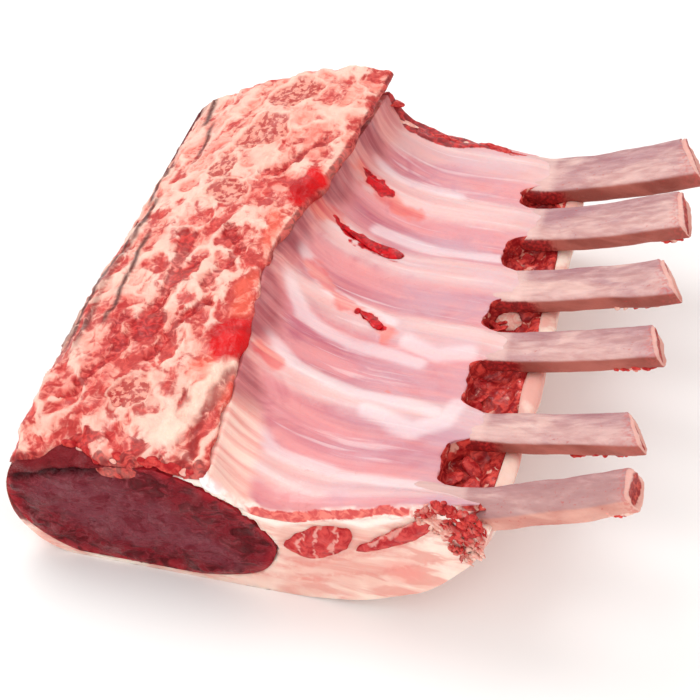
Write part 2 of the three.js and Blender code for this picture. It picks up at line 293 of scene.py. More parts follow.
def grain(wire, size, detail=4.0, stretch=(1.0, 1.0, 1.0), twist=0.0, by=None, roughness=0.55):
    """Noise from 0 to 1 whose bumps are about size millimetres, on the object's place or on a painted one."""
    if by:
        place = wire.node("ShaderNodeAttribute", {"attribute_name": by}, output=1)
        scale = 1 / size
    else:
        place = wire.node("ShaderNodeTexCoord", output=3)
        scale = 1000 / size
    place = place.node("ShaderNodeMapping", {}, {"Vector": place, "Scale": stretch})
    settings = {"Vector": place, "Scale": scale, "Detail": detail,
                "Roughness": roughness, "Distortion": twist}
    return place.node("ShaderNodeTexNoise", {}, settings)


def painted(wire, name):
    """The number painted on the mesh under a name."""
    return wire.node("ShaderNodeAttribute", {"attribute_name": name}, output=2)


def finish_flesh(shader, colour, roughness, height, bump):
    """Plugs in the colour, the roughness and a bump of height millimetres. The coat lies in patches."""
    tree = colour.tree
    wet_sheen = grain(colour, 5, detail=4, twist=0.6).fade(0.44, 0.66) * shader.inputs["Coat Weight"].default_value
    tree.links.new(wet_sheen.socket, shader.inputs["Coat Weight"])
    tree.links.new(colour.socket, shader.inputs["Base Color"])
    tree.links.new(roughness.socket, shader.inputs["Roughness"])
    bumped = height.node("ShaderNodeBump", {}, {"Strength": 1.0, "Distance": bump / 1000, "Height": height})
    tree.links.new(bumped.socket, shader.inputs["Normal"])
    tree.links.new(bumped.socket, shader.inputs["Coat Normal"])


side_reach = lambda y: 16.6 + 3.0 * smooth(0, 60, y)
shoulder_z = lambda y: 30.5 + 6.0 * smooth(-2, 16, y)
ridge_x = along((-6, 49.5), (0, 49), (32, 46.5), (60, 43.5), (80, 42.5), (112, 49.5), (136, 53.5), (163, 56))
ridge_z = along((-6, 37), (0, 37.5), (32, 41), (66, 45), (90, 47.5), (112, 50.5), (136, 53.5), (163, 55.5))
chine_depth = along((-6, 2.6), (0, 2.8), (40, 5.5), (100, 9), (163, 11))

# The sponge of the sawn vertebrae, dark meat and blood on the sawn face: middle, size and turn in the face
BONE_SPONGE = [((31, 146), (8.5, 7.5), 10), ((27, 127), (8, 8.5), 20), ((19.5, 112.5), (4.2, 5), 0),
               ((24, 99.5), (7, 5.4), -15), ((24, 20), (5, 5.5), 0)]
DARK_MEAT = [((19, 79), (2.8, 5), 10), ((24, 65), (3.4, 5.5), -20), ((19.5, 47), (4.0, 7), 15),
             ((17, 6), (5, 2.6), 0), ((31, 4.5), (3, 2.4), 0), ((38, 18), (1.8, 6), 20)]
FRESH_BLOOD = [((43.5, 42), (5.4, 8), 0), ((46, 101), (4.2, 7.5), -15), ((47.5, 46), (3.4, 5), 0)]
ORANGE_BLOOD = [((41.5, 57), (3, 9), 0), ((42.5, 28), (4.5, 8), 20), ((42, 82), (2.4, 7), 0)]
RED_STREAKS = [((12, 28), (19, 44), (21, 62), (17, 82)), ((30, 60), (36, 74), (30, 84)),
               ((8, 18), (14, 34), (12, 48)), ((33, 108), (40, 112), (46, 122)),
               ((24, 34), (27, 46), (33, 54))]
CREAM_BAND = ((45, 34), (41.5, 22), (37, 9))
GROOVE = ((46, 31), (44.6, 18), (42.6, 2))


def face_z(x, y):
    share = np.clip((x - SHOULDER_X) / (ridge_x(y) - SHOULDER_X), 0, 1)
    return shoulder_z(y) + (ridge_z(y) - shoulder_z(y)) * np.sin(share * np.pi / 2)


def oval_sum(x, y, ovals, soft=0.45):
    return np.max([spot(x, y, centre, size, turn, soft) for centre, size, turn in ovals], axis=0)


def chine_rings(rows):
    y = rows[:, None]
    reach = side_reach(y)
    top_turn = np.arccos((FLAT_START_X - SHOULDER_X) / reach)
    upper = (shoulder_z(y) - SIDE_CENTRE_Z) / np.sin(top_turn)
    ragged = 0.12 * noise(y / 7, 0, 3) + 0.07 * noise(y / 2.3, 0, 4)
    turn = 0.42 + ragged + (top_turn - 0.42 - ragged) * np.linspace(0, 1, 22)[:-1]
    side_x = FLAT_START_X - (reach + 0.35) * np.cos(turn)
    side_z = SIDE_CENTRE_Z + (upper + 0.35) * np.sin(turn)
    x = SHOULDER_X + (ridge_x(y) - SHOULDER_X) * np.linspace(0, 1, 92)
    top = [np.concatenate([side_x, x], 1), np.concatenate([side_z, face_z(x, y)], 1)]
    # The edge above the hollow: it hangs over more towards the back.
    hang = 0.9 * smooth(20, 50, y) - 0.4 + 1.5 * smooth(60, 105, y)
    hang = hang + (0.9 + 0.7 * smooth(60, 105, y)) * noise(y / 6, 1.5, 0, 7)
    hang = hang + 0.35 * noise(y / 2.3, 2.5, 0, 8)
    turn = np.linspace(0, np.pi, 9)[1:]
    drop = 2.2 + 1.1 * smooth(60, 105, y)
    edge_x = ridge_x(y) + (hang + 1.0) * np.sin(turn)
    edge_z = ridge_z(y) - drop * (1 - np.cos(turn)) / 2
    under = np.linspace(0, 1, 14)[1:-1]
    depth = chine_depth(y)
    under_x = ridge_x(y) - 0.5 + (side_x[:, :1] + 1.6 - ridge_x(y) + 0.5) * under
    under_z = edge_z[:, -1:] + (side_z[:, :1] - edge_z[:, -1:]) * under - (depth - 2) * np.sin(np.pi * under)
    ring_x = np.concatenate([top[0], edge_x, under_x], 1)
    ring_z = np.concatenate([top[1], edge_z, under_z], 1)
    points = np.stack([ring_x, np.broadcast_to(y, ring_x.shape), ring_z], 2)[:, ::-1]
    shown = 22 + 91 + 6
    return points, points.shape[1] - shown


def fat_web(x, y, z):
    """1 on the raised seams of fat and gristle that swirl through the sawn face, 0 in the meat."""
    bend_x = x + 3.2 * noise(x / 9, y / 9, z / 9, 14) + 1.1 * noise(x / 2.6, y / 2.6, z / 2.6, 15)
    bend_y = y + 3.2 * noise(x / 9, y / 9, z / 9, 16) + 1.1 * noise(x / 2.6, y / 2.6, z / 2.6, 17)
    bend_y = bend_y - 0.5 * np.minimum(y, 50)  # the seams run further from front to back near the front
    wide = 1 - smooth(0.02, 0.5, np.abs(noise(bend_x / 6.5, bend_y / 9, z / 9, 18)))
    thin = 1 - smooth(0.02, 0.38, np.abs(noise(bend_x / 2.8, bend_y / 3.4, z / 4, 19)))
    return np.clip(0.75 * wide + 0.5 * thin - 0.05, 0, 1)


def chine_masks(x, y, z):
    wobble_x = x + 1.6 * noise(x / 4, y / 4, z / 4, 21) + 0.7 * noise(x / 1.5, y / 1.5, z / 1.5, 23)
    wobble_y = y + 1.6 * noise(x / 4, y / 4, z / 4, 22) + 0.7 * noise(x / 1.5, y / 1.5, z / 1.5, 24)
    streaks = np.max([streak(wobble_x, wobble_y, path, 1.7) for path in RED_STREAKS], axis=0)
    return {
        "web": fat_web(x, y, z),
        "sponge": oval_sum(wobble_x, wobble_y, BONE_SPONGE, 0.3),
        "dark_meat": np.maximum(oval_sum(wobble_x, wobble_y, DARK_MEAT), 0.75 * streaks),
        "blood": oval_sum(wobble_x, wobble_y, FRESH_BLOOD, 0.6),
        "orange": oval_sum(wobble_x, wobble_y, ORANGE_BLOOD, 0.8),
        "cream": streak(wobble_x, wobble_y, CREAM_BAND, 2.8, 0.6),
        "groove": streak(wobble_x, wobble_y, GROOVE, 1.1, 0.8),
        # edge: painted shade on the underside of the overhanging ridge edge, more towards the back, and the
        # red torn lip in front
        "edge": smooth(0.7, 2.5, x - ridge_x(y)) * (0.1 + 0.9 * smooth(34, 76, y))
        + (1 - smooth(0.5, 3.2, y + 1.2 * noise(x / 2.5, 0, 0, 5))),
        "old": streak_lines(x, y, z),
        "calm": smooth(88, 118, y),
    }


def streak_lines(x, y, z):
    """Thin dried streaks that run along the outer side."""
    total = np.zeros(np.shape(x))
    for number, (place, width) in enumerate(((-3.6, 2.8), (-0.7, 1.7), (2.2, 1.8), (6.5, 1.2))):
        off = x - place - 1.3 * noise(y / 16, number, 0, 9) - 0.4 * noise(y / 4, number, 0, 10)
        along_it = smooth(-0.35, 0.25, noise(y / 19, number * 3.3, 0, 6))
        total = np.maximum(total, (1 - smooth(width * 0.1, width, np.abs(off))) * along_it)
    return total * smooth(26, 50, y)


def chine_material():
    material, shader, start = flesh("sawn_chine", wetness=0.4, depth_of_light=1.2, subsurface=0.2)
    broad = grain(start, 14, detail=3, twist=0.8)
    fine = grain(start, 2.4, detail=5, twist=1.2)
    tiny = grain(start, 1.7, detail=3)
    web = painted(start, "web")
    patch = grain(start, 7, detail=6, stretch=(1.2, 0.7, 1.0), twist=0.9)
    colour = fine.blend(0.25, 0.72, (248, 184, 166), (232, 130, 114))
    colour = (broad.fade(0.45, 0.7) * 0.6).over(colour, tint(230, 98, 86))
    colour = ((web + fine * 0.7 - 0.45).fade(0.1, 0.8) * 0.68).over(colour, tint(252, 212, 194))
    red = (patch + fine * 0.35 - web * 0.22 - painted(start, "calm") * 0.08).fade(0.51, 0.71)
    colour = (red * 0.85).over(colour, fine.blend(0.36, 0.6, (212, 52, 48), (178, 16, 24)))
    # Painted shade under the overhanging ridge edge, and the red of the torn lip in front
    border = (painted(start, "edge") + fine * 0.5 - 0.25).fade(0.25, 0.75)
    colour = (border * 0.85).over(colour, fine.blend(0.36, 0.62, (206, 62, 56), (128, 20, 24)))
    # Sponge of the vertebrae: red-brown holes in a pale web, inside a soft pale rim
    sponge = painted(start, "sponge")
    rim = sponge.fade(0.05, 0.4) * (1 - sponge.fade(0.4, 0.85))
    colour = (rim * 0.6).over(colour, tint(250, 200, 180))
    core = (tiny + fine * 0.5).blend(0.68, 0.84, (178, 52, 48), (238, 158, 140))
    colour = (sponge.fade(0.5, 0.95) * 0.9).over(colour, core)
    dark = (painted(start, "dark_meat") + fine * 0.9 - 0.45).fade(0.3, 0.85)
    colour = (dark * 0.9).over(colour, fine.blend(0.35, 0.62, (212, 46, 44), (154, 16, 22)))
    orange = (painted(start, "orange") + fine * 0.6 - 0.3).fade(0.1, 0.9)
    colour = (orange * 0.55).over(colour, tint(244, 104, 78))
    colour = (painted(start, "cream") * (fine * 0.8 + 0.4) * 0.9).over(colour, tint(254, 222, 202))
    colour = (painted(start, "groove") * fine.fade(0.25, 0.5) * 0.8).over(colour, tint(150, 44, 42))
    blood = (painted(start, "blood") + fine * 0.5 - 0.25).fade(0.2, 0.75)
    colour = blood.over(colour, broad.blend(0.4, 0.6, (218, 6, 12), (184, 0, 8)))
    colour = (painted(start, "old") * fine.fade(0.2, 0.45) * 0.95).over(colour, tint(84, 30, 24))
    roughness = 0.48 - 0.22 * blood
    finish_flesh(shader, colour, roughness, fine + tiny * 0.4, 0.45)
    return material


rows = np.linspace(1.0, LENGTH - 1.0, 232)
rows = np.concatenate([[0, 0.25, 0.6], rows, LENGTH - np.array([0.6, 0.25, 0])])
points, first_shown = chine_rings(rows)
shown = smooth(first_shown - 1, first_shown + 3, np.arange(points.shape[1]))[None, :]
x, y, z = points[..., 0], points[..., 1], points[..., 2]
masks = chine_masks(x, y, z)
lift = 0.7 * crumple(x / 9, y / 9, z / 9, 11) + 0.22 * noise(x / 1.6, y / 1.9, z / 1.6, 12)
lift += 0.75 * masks["web"] - 0.3 - 0.8 * smooth(0.3, 0.8, masks["dark_meat"]) * smooth(4, 16, y)
lift += 0.4 * smooth(0.05, 0.3, masks["sponge"]) - 0.8 * smooth(0.4, 0.9, masks["sponge"])
lift += 0.4 * masks["blood"] + 0.6 * masks["cream"] - 0.7 * masks["groove"] * smooth(3, 8, y)
lift *= 1 - 0.65 * smooth(-1, 1.5, x - ridge_x(y))
points = points + normals_of(points) * (lift * shown)[..., None]
# The lip in front is torn: it is thinner at the cut and its border wanders.
at_lip = 1 - smooth(0, 1.6, rows)
points[..., 2] -= (1.4 * at_lip**2)[:, None] * (1 + 0.8 * noise(x / 2.4, 0.5, 0, 30))
lip = 0.7 + 1.0 * noise(x[0] / 6, 0.5, 0, 31) + 1.0 * noise(x[0] / 2.4, 0.5, 0, 32)
lip += 4.2 * np.exp(-(((x[0] - 14) / 5.5) ** 2))  # set back where the flap of the eye shows
points[..., 1] += np.maximum(lip, -0.4)[None, :] * (1 - smooth(0, 15, rows))[:, None]
bumpy_cut = lambda x, z, rim: 0.3 * noise(x / 2, z / 2, 0, 33) * smooth(0, 1, rim)
chine = slab("sawn_chine", points, chine_material(), bumpy_cut, bumpy_cut, 1.3, chine_masks)
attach(chine, "root")
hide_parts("chine")


# Rib wall
# One pale skin is stretched over the ribs and the meat between them, with wet folds that run along the ribs.
# At the frenched line the meat is cut away from the bones, which leaves a red scoop in every gap.

FRENCH_X = 104.0
RIB_RELIEF = 1.9
RIM_TOP_Z = 30.0
SKIN = 0.9
RIM_WIDTH = 4.4

RIBS = [
    {"name": "rib_1", "root_y": 6.8, "lean": 6, "tip": (146.6, 11.6, 47),
     "width": 10, "thickness": 6.4, "skew": 0.12},
    {"name": "rib_2", "root_y": 35, "lean": 8, "tip": (145.2, 33, 43.7),
     "width": 11.2, "thickness": 5, "skew": -0.3},
    {"name": "rib_3", "root_y": 65.4, "lean": 8.5, "tip": (146.6, 64.6, 45.1),
     "width": 12.5, "thickness": 5.4, "skew": -0.26},
    {"name": "rib_4", "root_y": 91.4, "lean": 8, "tip": (147.1, 90.3, 46.5),
     "width": 14.4, "thickness": 5.7, "skew": -0.3},
    {"name": "rib_5", "root_y": 120.4, "lean": 6, "tip": (147.8, 119.6, 47.5),
     "width": 16.2, "thickness": 6, "skew": -0.25},
    {"name": "rib_6", "root_y": 146.4, "lean": 1, "tip": (148, 146, 48.4),
     "width": 18.4, "thickness": 7.4, "skew": -0.3},
]

valley_z = along((-6, 28.5), (0, 28.5), (20, 31.5), (45, 33.5), (90, 33.5), (130, 32.8), (163, 32.5))
french_z = along((-6, 40), (0, 40), (3, 38.4), (8, 34), (14, 33), (34, 33), (90, 33.4), (163, 32.8))
fall_length = along((-6, 8), (0, 8), (70, 10), (110, 8.5), (140, 6.5), (163, 6))
fall_bend = along((-6, 1.2), (0, 1.2), (80, 1.15), (120, 0.85), (163, 0.66))
rim_x = along((-6, 116), (0, 116.2), (20, 118.6), (60, 119.6), (110, 119.2), (150, 118), (163, 116.5))
rim_z = lambda y: RIM_TOP_Z + 3.5 * (1 - smooth(0, 11, y))


def hollow_z(x, y):
    dx = np.maximum(0, x - ridge_x(y))
    floor = valley_z(y) + (french_z(y) - valley_z(y)) * smooth(58, FRENCH_X + 6, x)
    return floor + (ridge_z(y) - floor) * np.exp(-((dx / fall_length(y)) ** fall_bend(y)))


def rib_y(rib, x):
    return rib["root_y"] + rib["lean"] * np.clip((78 - x) / 32, 0, 1) ** 1.2


def rib_swell(x, y):
    """1 on the crest of a rib, 0 between two ribs."""
    crest = [np.clip(1 - np.abs(y - rib_y(rib, x)) / (rib["width"] * 0.5 + 4), 0, 1) for rib in RIBS]
    return np.sin(np.max(crest, axis=0) * np.pi / 2) ** 2


def wall_z(x, y):
    start = ridge_x(y) + WALL_LEDGE
    return hollow_z(x, y) + RIB_RELIEF * rib_swell(x, y) * smooth(start, start + 12, x)


def under_wall(x, y):
    return wall_z(x, y) - 4.8 - 3.8 * smooth(1, 9, y)


def french_edge(y):
    near_rib = rib_swell(FRENCH_X, y)
    wander = (0.9 * noise(y / 4, 0.5, 0, 41) + 0.4 * noise(y / 1.5, 0.5, 0, 42)) * (1 - near_rib)
    return 100.6 + 7.5 * smooth(0.02, 0.75, near_rib) + 4.5 * (1 - smooth(4, 16, y)) + wander


def wall_rings(rows):
    y = rows[:, None]
    edge = french_edge(y)
    start = ridge_x(y) - 1.2
    x = start + (edge - start) * np.linspace(0, 1, 150)
    z = wall_z(x, y)
    tucked = hollow_z(ridge_x(y) + 1.5, y) + 0.4 * (x - ridge_x(y) - 1.5)
    z = np.where(x < ridge_x(y) + 1.5, np.minimum(z, tucked), z)
    gap = 1 - rib_swell(FRENCH_X, y)
    z = z - 0.7 * smooth(edge - 7, edge, x) * (1 - gap)
    top_z = z[:, -1:]
    floor_z = top_z - 1.8 - 4.4 * smooth(0.2, 0.8, gap) * smooth(6, 16, y)
    turn = np.linspace(0, np.pi / 2, 5)[1:]
    lip_x = edge + 0.7 * np.sin(turn)
    lip_z = top_z - 0.7 * (1 - np.cos(turn))
    down = np.linspace(0, 1, 9)[1:]
    fall_x = edge + 0.7 + 1.2 * down**2
    fall_z = top_z - 0.7 + (floor_z - top_z + 0.7) * down
    inner = rim_x(y) - RIM_WIDTH
    flat = np.linspace(0, 1, 22)[1:]
    floor_x = fall_x[:, -1:] + (inner - fall_x[:, -1:]) * flat
    rise = (rim_z(y) + 0.4 - floor_z) * smooth(0.55, 1.0, flat)
    bed_z = floor_z + rise
    tuck_x = inner + np.array([[0.6, 0.6]])
    tuck_z = np.concatenate([bed_z[:, -1:] - 1.5, bed_z[:, -1:] - 4.5], 1)
    back = np.linspace(1, 0, 14)[1:]
    under_x = start + (tuck_x[:, -1:] - start) * back
    under_z = under_wall(under_x, y)
    under_z = np.where(under_x > edge - 4, np.minimum(under_z, floor_z - 2.5), under_z)
    under_z = np.where(under_x < ridge_x(y) + 4, np.minimum(under_z, z[:, :1] - 3), under_z)
    ring_x = np.concatenate([x, lip_x, fall_x, floor_x, tuck_x, under_x], 1)
    ring_z = np.concatenate([z, lip_z, fall_z, bed_z, tuck_z, under_z], 1)
    points = np.stack([ring_x, np.broadcast_to(y, ring_x.shape), ring_z], 2)[:, ::-1]
    return points, points.shape[1] - (150 + 4 + 8 + 21)


# Blood and fat seen on the skin, and pale strands that also carry painted wet highlights: paths and widths
SKIN_BLOOD = [(((60, 97.5), (64, 96.6), (68, 95.3), (74, 94.2)), 1.9), (((54, 100), (60, 97.5)), 1.0),
              (((69.5, 68), (73, 65.5), (76, 63)), 1.3), (((58, 123), (61, 121.5), (65, 119)), 1.6)]
SKIN_FLUSH = [(((57, 123), (62, 120), (67, 117)), 2.8), (((66, 117), (70, 115.4), (75, 114.6)), 2.0),
              (((53, 81), (58, 77), (64.5, 70)), 2.2), (((62, 72), (70, 68), (79, 61)), 2.0),
              (((50, 44), (56, 40)), 2.0), (((83, 42), (84, 41)), 0.8), (((48, 100), (56, 100)), 2.6)]
SHEEN_STRANDS = [((46, 92), (50, 84), (60, 74), (78, 66)), ((47, 74), (56, 62), (70, 56), (88, 54)),
                ((49, 50), (60, 42), (76, 38), (96, 36)), ((52, 22), (62, 15), (80, 11), (98, 10)),
                ((80, 32), (92, 29), (99, 33), (101, 40)), ((84, 60), (92, 58), (100, 60)),
                ((66, 104), (84, 101), (100, 102)), ((56, 132), (66, 128), (84, 127))]


def red_layer(x, z):
    """The thin red layer just under the skin in the front cut."""
    below = wall_z(x, 0) - z + 0.7 * noise(x / 4, 0, 0, 54)
    thick = 3.0 + 1.4 * smooth(80, 64, x)
    layer = smooth(0.6, 1.4, below) * smooth(thick + 1.4, thick, below)
    return layer * smooth(56, 62, x) * smooth(102, 95, x)


def raw_reach(x):
    """How much further the raw meat of the back cut comes forward: most in the middle of the fall."""
    return 7.0 * np.exp(-(((x - 74) / 13) ** 2))


def skin_masks(x, y, z):
    swell = rib_swell(x, y)
    wobble_x = x + 1.5 * noise(x / 3, y / 3, 0, 51)
    wobble_y = y + 1.1 * noise(x / 3, y / 3, 0, 52) + 0.8 * noise(x / 1.4, y / 1.1, 0, 55)
    lean = 8 * np.clip((78 - x) / 32, 0, 1) ** 1.2
    fall = ridge_x(y) + 9 - x
    past_edge = smooth(0.1, 0.9, x - french_edge(y)) + smooth(0.4, 2.2, wall_z(x, y) - z) * (x > FRENCH_X - 8)
    return {
        "between": 1 - swell,
        "near_chine": smooth(-4, 8, fall),
        "far": smooth(62, 86, x),
        "fold": smooth(34, 16, y) * smooth(-14, -6, fall - 9),
        "front_fat": (1 - smooth(0.9, 1.8, y))
        * smooth(0.5, 1.2, wall_z(x, 0) - z + 0.5 * noise(x / 3, 0, 0, 56)),
        "front_white": (1 - smooth(0.9, 2.2, y)) * spot(x, z, (48.5, 33.2), (5, 2.4), -20, 0.4),
        "blood": np.max([streak(wobble_x, wobble_y, path, width) for path, width in SKIN_BLOOD], axis=0),
        "flush": np.max([streak(wobble_x, wobble_y, path, width, 0.95)
                         for path, width in SKIN_FLUSH], axis=0),
        # pale: raised pale strands, painted whiter as wet highlights along the folds
        "pale": 1.15 * np.max([streak(x, y + 0.6 * noise(x / 9, y / 3, 0, 57), path, 2.2, 0.98)
                               for path in SHEEN_STRANDS], axis=0)
        * smooth(2, 11, x - ridge_x(y)),
        "cut": np.clip(past_edge, 0, 1),
        "raw_edge": smooth(LENGTH - 3.6, LENGTH - 1.8, y + raw_reach(x) + 1.2 * noise(x / 4, 0, 0, 53))
        * smooth(100, 90, x),
        "red_strip": (1 - smooth(0.7, 1.6, y)) * red_layer(x, z),
        "run": np.stack([x - 0.35 * z, y - lean, 0 * x], 1),
    }


def skin_material():
    material, shader, start = flesh("rib_skin", wetness=0.5, depth_of_light=1.6, subsurface=0.25)
    fibres = grain(start, 3.0, detail=5, stretch=(0.07, 1.0, 1.0), twist=0.25, by="run")
    bands = grain(start, 9, detail=3, stretch=(0.14, 1.0, 1.0), twist=0.5, by="run")
    blotch = grain(start, 12, detail=4, twist=0.6)
    fine = grain(start, 2.2, detail=5, twist=0.8)
    between = painted(start, "between")
    near = painted(start, "near_chine")
    over_rib = bands.blend(0.35, 0.65, (234, 198, 194), (214, 164, 164))
    over_meat = bands.blend(0.35, 0.65, (224, 146, 150), (190, 104, 120))
    meaty = (between * 1.0 + blotch * 0.9 - 0.5).fade(0.1, 0.75)
    colour = meaty.over(over_rib, over_meat)
    colour = ((fibres - 0.36).fade(0.0, 0.3) * 0.4).over(colour, tint(238, 164, 156))
    colour = (fibres.fade(0.42, 0.3) * 0.45).over(colour, tint(246, 220, 218))
    colour = (blotch.fade(0.52, 0.7) * between * 0.55).over(colour, tint(186, 92, 112))
    warm = (near + bands * 0.8 - 0.4).fade(0.1, 0.95)
    colour = (warm * 0.7).over(colour, fibres.blend(0.34, 0.66, (238, 156, 144), (196, 92, 98)))
    # Painted shade under the chine's ridge, between the ribs, deepening the darker meat there
    ridge_shade = (near + between * 0.8 + blotch * 0.6 - 1.2).fade(0.1, 0.6)
    colour = (ridge_shade * 0.7).over(colour, fibres.blend(0.32, 0.66, (188, 106, 112), (140, 54, 66)))
    cool = painted(start, "far") * (blotch * 0.7 + bands * 0.7 - 0.35).fade(0.1, 0.6)
    colour = (cool * 0.5).over(colour, tint(222, 196, 206))
    # Pale strands, partly fascia and partly painted wet highlights
    pale = (painted(start, "pale") + fibres * 0.8 - 0.4).fade(0.1, 1.0)
    colour = (pale * 0.5).over(colour, tint(247, 232, 233))
    fold = (painted(start, "fold") + bands * 0.8 + fibres * 0.6 - 0.7).fade(0.1, 0.7)
    colour = (fold * 0.8).over(colour, fibres.blend(0.36, 0.62, (250, 214, 198), (236, 164, 152)))
    flush = (painted(start, "flush") + fibres * 0.8 - 0.4).fade(0.1, 0.9)
    colour = (flush * 0.6).over(colour, fibres.blend(0.4, 0.6, (240, 120, 98), (222, 62, 60)))
    blood = (painted(start, "blood") + fibres * 0.6 + fine * 0.5 - 0.55).fade(0.1, 0.45)
    colour = blood.over(colour, fine.blend(0.4, 0.62, (212, 10, 24), (158, 4, 18)))
    meat = fine.blend(0.32, 0.62, (222, 78, 68), (150, 20, 26))
    meat = (grain(start, 3.0, detail=2, twist=0.6).fade(0.6, 0.68) * 0.7).over(meat, tint(240, 184, 164))
    cut = (painted(start, "cut") + fine * 0.3 - 0.15).fade(0.35, 0.6)
    colour = cut.over(colour, meat)
    fat = fine.blend(0.35, 0.65, (252, 232, 222), (246, 204, 192))
    colour = painted(start, "front_fat").over(colour, fat)
    gristle = fine.blend(0.4, 0.7, (255, 250, 250), (240, 214, 214))
    colour = painted(start, "front_white").over(colour, gristle)
    raw = (painted(start, "raw_edge") + fine * 0.5 - 0.25).fade(0.35, 0.65)
    colour = (raw * 0.95).over(colour, fine.blend(0.36, 0.6, (204, 42, 42), (132, 10, 20)))
    strip = (painted(start, "red_strip") + fine * 0.8 + fibres * 0.5 - 0.65).fade(0.3, 0.75)
    colour = (strip * 0.9).over(colour, fine.blend(0.36, 0.6, (240, 112, 96), (206, 44, 46)))
    roughness = 0.4 + 0.14 * fibres - 0.12 * blood
    finish_flesh(shader, colour, roughness, fibres + fine * 0.35, 0.5)
    return material


rows = np.concatenate([[0, 0.3], np.linspace(0.8, LENGTH - 0.8, 236), LENGTH - np.array([0.3, 0])])
points, first_shown = wall_rings(rows)
shown = smooth(first_shown - 1, first_shown + 2, np.arange(points.shape[1]))[None, :]
x, y, z = points[..., 0], points[..., 1], points[..., 2]
masks = skin_masks(x.ravel(), y.ravel(), z.ravel())
run = masks.pop("run").reshape(*x.shape, 3)
masks = {key: value.reshape(x.shape) for key, value in masks.items()}
lift = 0.16 * crumple(run[..., 0] / 24, run[..., 1] / 2.4, 0, 61, 2) * smooth(0, 12, x - ridge_x(y))
lift += 0.4 * noise(run[..., 0] / 26, run[..., 1] / 6, 0, 62)
lift += 0.4 * crumple(run[..., 0] / 12, run[..., 1] / 2.2, 0, 63, 2) * masks["near_chine"]
lift += 0.2 * masks["pale"] - 0.3 * masks["blood"]
scraped = 0.7 * noise(x / 1.9, y / 1.9, z / 1.9, 64) + 0.4 * noise(x / 0.9, y / 0.9, z / 0.9, 65)
lift += masks["cut"] * scraped
torn = 0.8 + 0.4 * noise(x / 5, y / 2.4, 0, 66) + 0.15 * noise(x / 1.5, y / 1.5, 0, 68)
lift += masks["raw_edge"] * torn * smooth(1, 4, y)
points = points + normals_of(points) * (lift * shown)[..., None]
rounded = 0.9 * (1 - smooth(0, 0.8, rows)) ** 2 + 1.4 * smooth(LENGTH - 1.6, LENGTH, rows)
points[..., 2] -= rounded[:, None] * shown
fleshy_cut = lambda x, z, rim: (0.5 + 0.4 * noise(x / 2.5, z / 1.5, 0, 67)) * smooth(0, 1.2, rim)
wall = slab("rib_skin", points, skin_material(), fleshy_cut, fleshy_cut, 1.1, skin_masks)
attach(wall, "root")
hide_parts("rib_wall")


# Eye muscle
# The long lean muscle beside the backbone, cut straight through. Its cut face is dark, close-grained and
# bulges a little, with a darker flap of meat along its top where the knife slipped.

EYE_FAT = 1.7
EYE_OUTLINE = [(-1.5, 18), (0.6, 27.5), (9, 34.5), (24, 36), (38, 34), (50, 29.6), (60.5, 22.4),
               (65.6, 15.5), (61.5, 6.4), (46, EYE_FAT), (30, EYE_FAT), (15, EYE_FAT), (3.2, 8.4)]
FLAP_EDGE = ((0, 24), (9, 28.5), (20, 30.2), (31, 33.5))


def closed_curve(knots, count):
    """A smooth closed curve through knots, as evenly spaced points counter-clockwise seen from the front."""
    knots = np.array(knots, float)
    t = np.linspace(0, len(knots), len(knots) * 24, endpoint=False)
    i = t.astype(int)
    w = (t - i)[:, None]
    p = [np.roll(knots, shift, 0)[i % len(knots)] for shift in (1, 0, -1, -2)]
    square = 2 * p[0] - 5 * p[1] + 4 * p[2] - p[3]
    cube = 3 * (p[1] - p[2]) + p[3] - p[0]
    curve = p[1] + 0.5 * w * (p[2] - p[0] + w * (square + w * cube))
    closed = np.concatenate([curve, curve[:1]])
    travelled = np.concatenate([[0], np.cumsum(np.hypot(*np.diff(closed, axis=0).T))])
    at = np.linspace(0, travelled[-1], count, endpoint=False)
    even = np.stack([np.interp(at, travelled, closed[:, k]) for k in (0, 1)], 1)
    area = (even[:, 0] * np.roll(even[:, 1], -1) - np.roll(even[:, 0], -1) * even[:, 1]).sum()
    return even if area > 0 else even[::-1]


def eye_ring(y):
    share = y / LENGTH
    widen = side_reach(y) - 16
    knots = []
    for x, z in EYE_OUTLINE:
        right = 30 + (x - 30) * (1 - 0.1 * share) if x > 30 else x
        taller = 1 + 0.24 * share * min(1, max(0, (z - 12) / 20))
        knots.append((right - widen * min(1, max(0, (30 - x) / 30)), z * taller))
    ring = closed_curve(knots, 150)
    x, z = ring[:, 0], np.maximum(EYE_FAT, ring[:, 1])
    under_chine = face_z(x, y) - chine_depth(y) * (0.45 + 0.55 * np.clip((x + 6) / 36, 0, 1)) + 0.3
    z = np.minimum(z, np.where(x < ridge_x(y), under_chine, under_wall(x, y) + 0.3))
    return np.stack([x, np.full(len(ring), y), z], 1)


def eye_relief(x, z, rim):
    dome = 0.9 * smooth(0, 9, rim)
    fibre = 0.34 * crumple(x / 3.2, z / 2.2, 0, 71) + 0.14 * noise(x / 0.9, z / 0.9, 0, 72)
    side = z - np.interp(x, *zip(*FLAP_EDGE))
    flap = 1.1 * smooth(0.0, 0.9, side) * smooth(34, 27, x) - 1.1 * streak(x, z, FLAP_EDGE, 0.9, 0.9)
    lumps = 1.1 * crumple(x / 8, z / 4.5, 0, 73)
    return dome + (fibre + flap + lumps) * smooth(0, 2.4, rim)


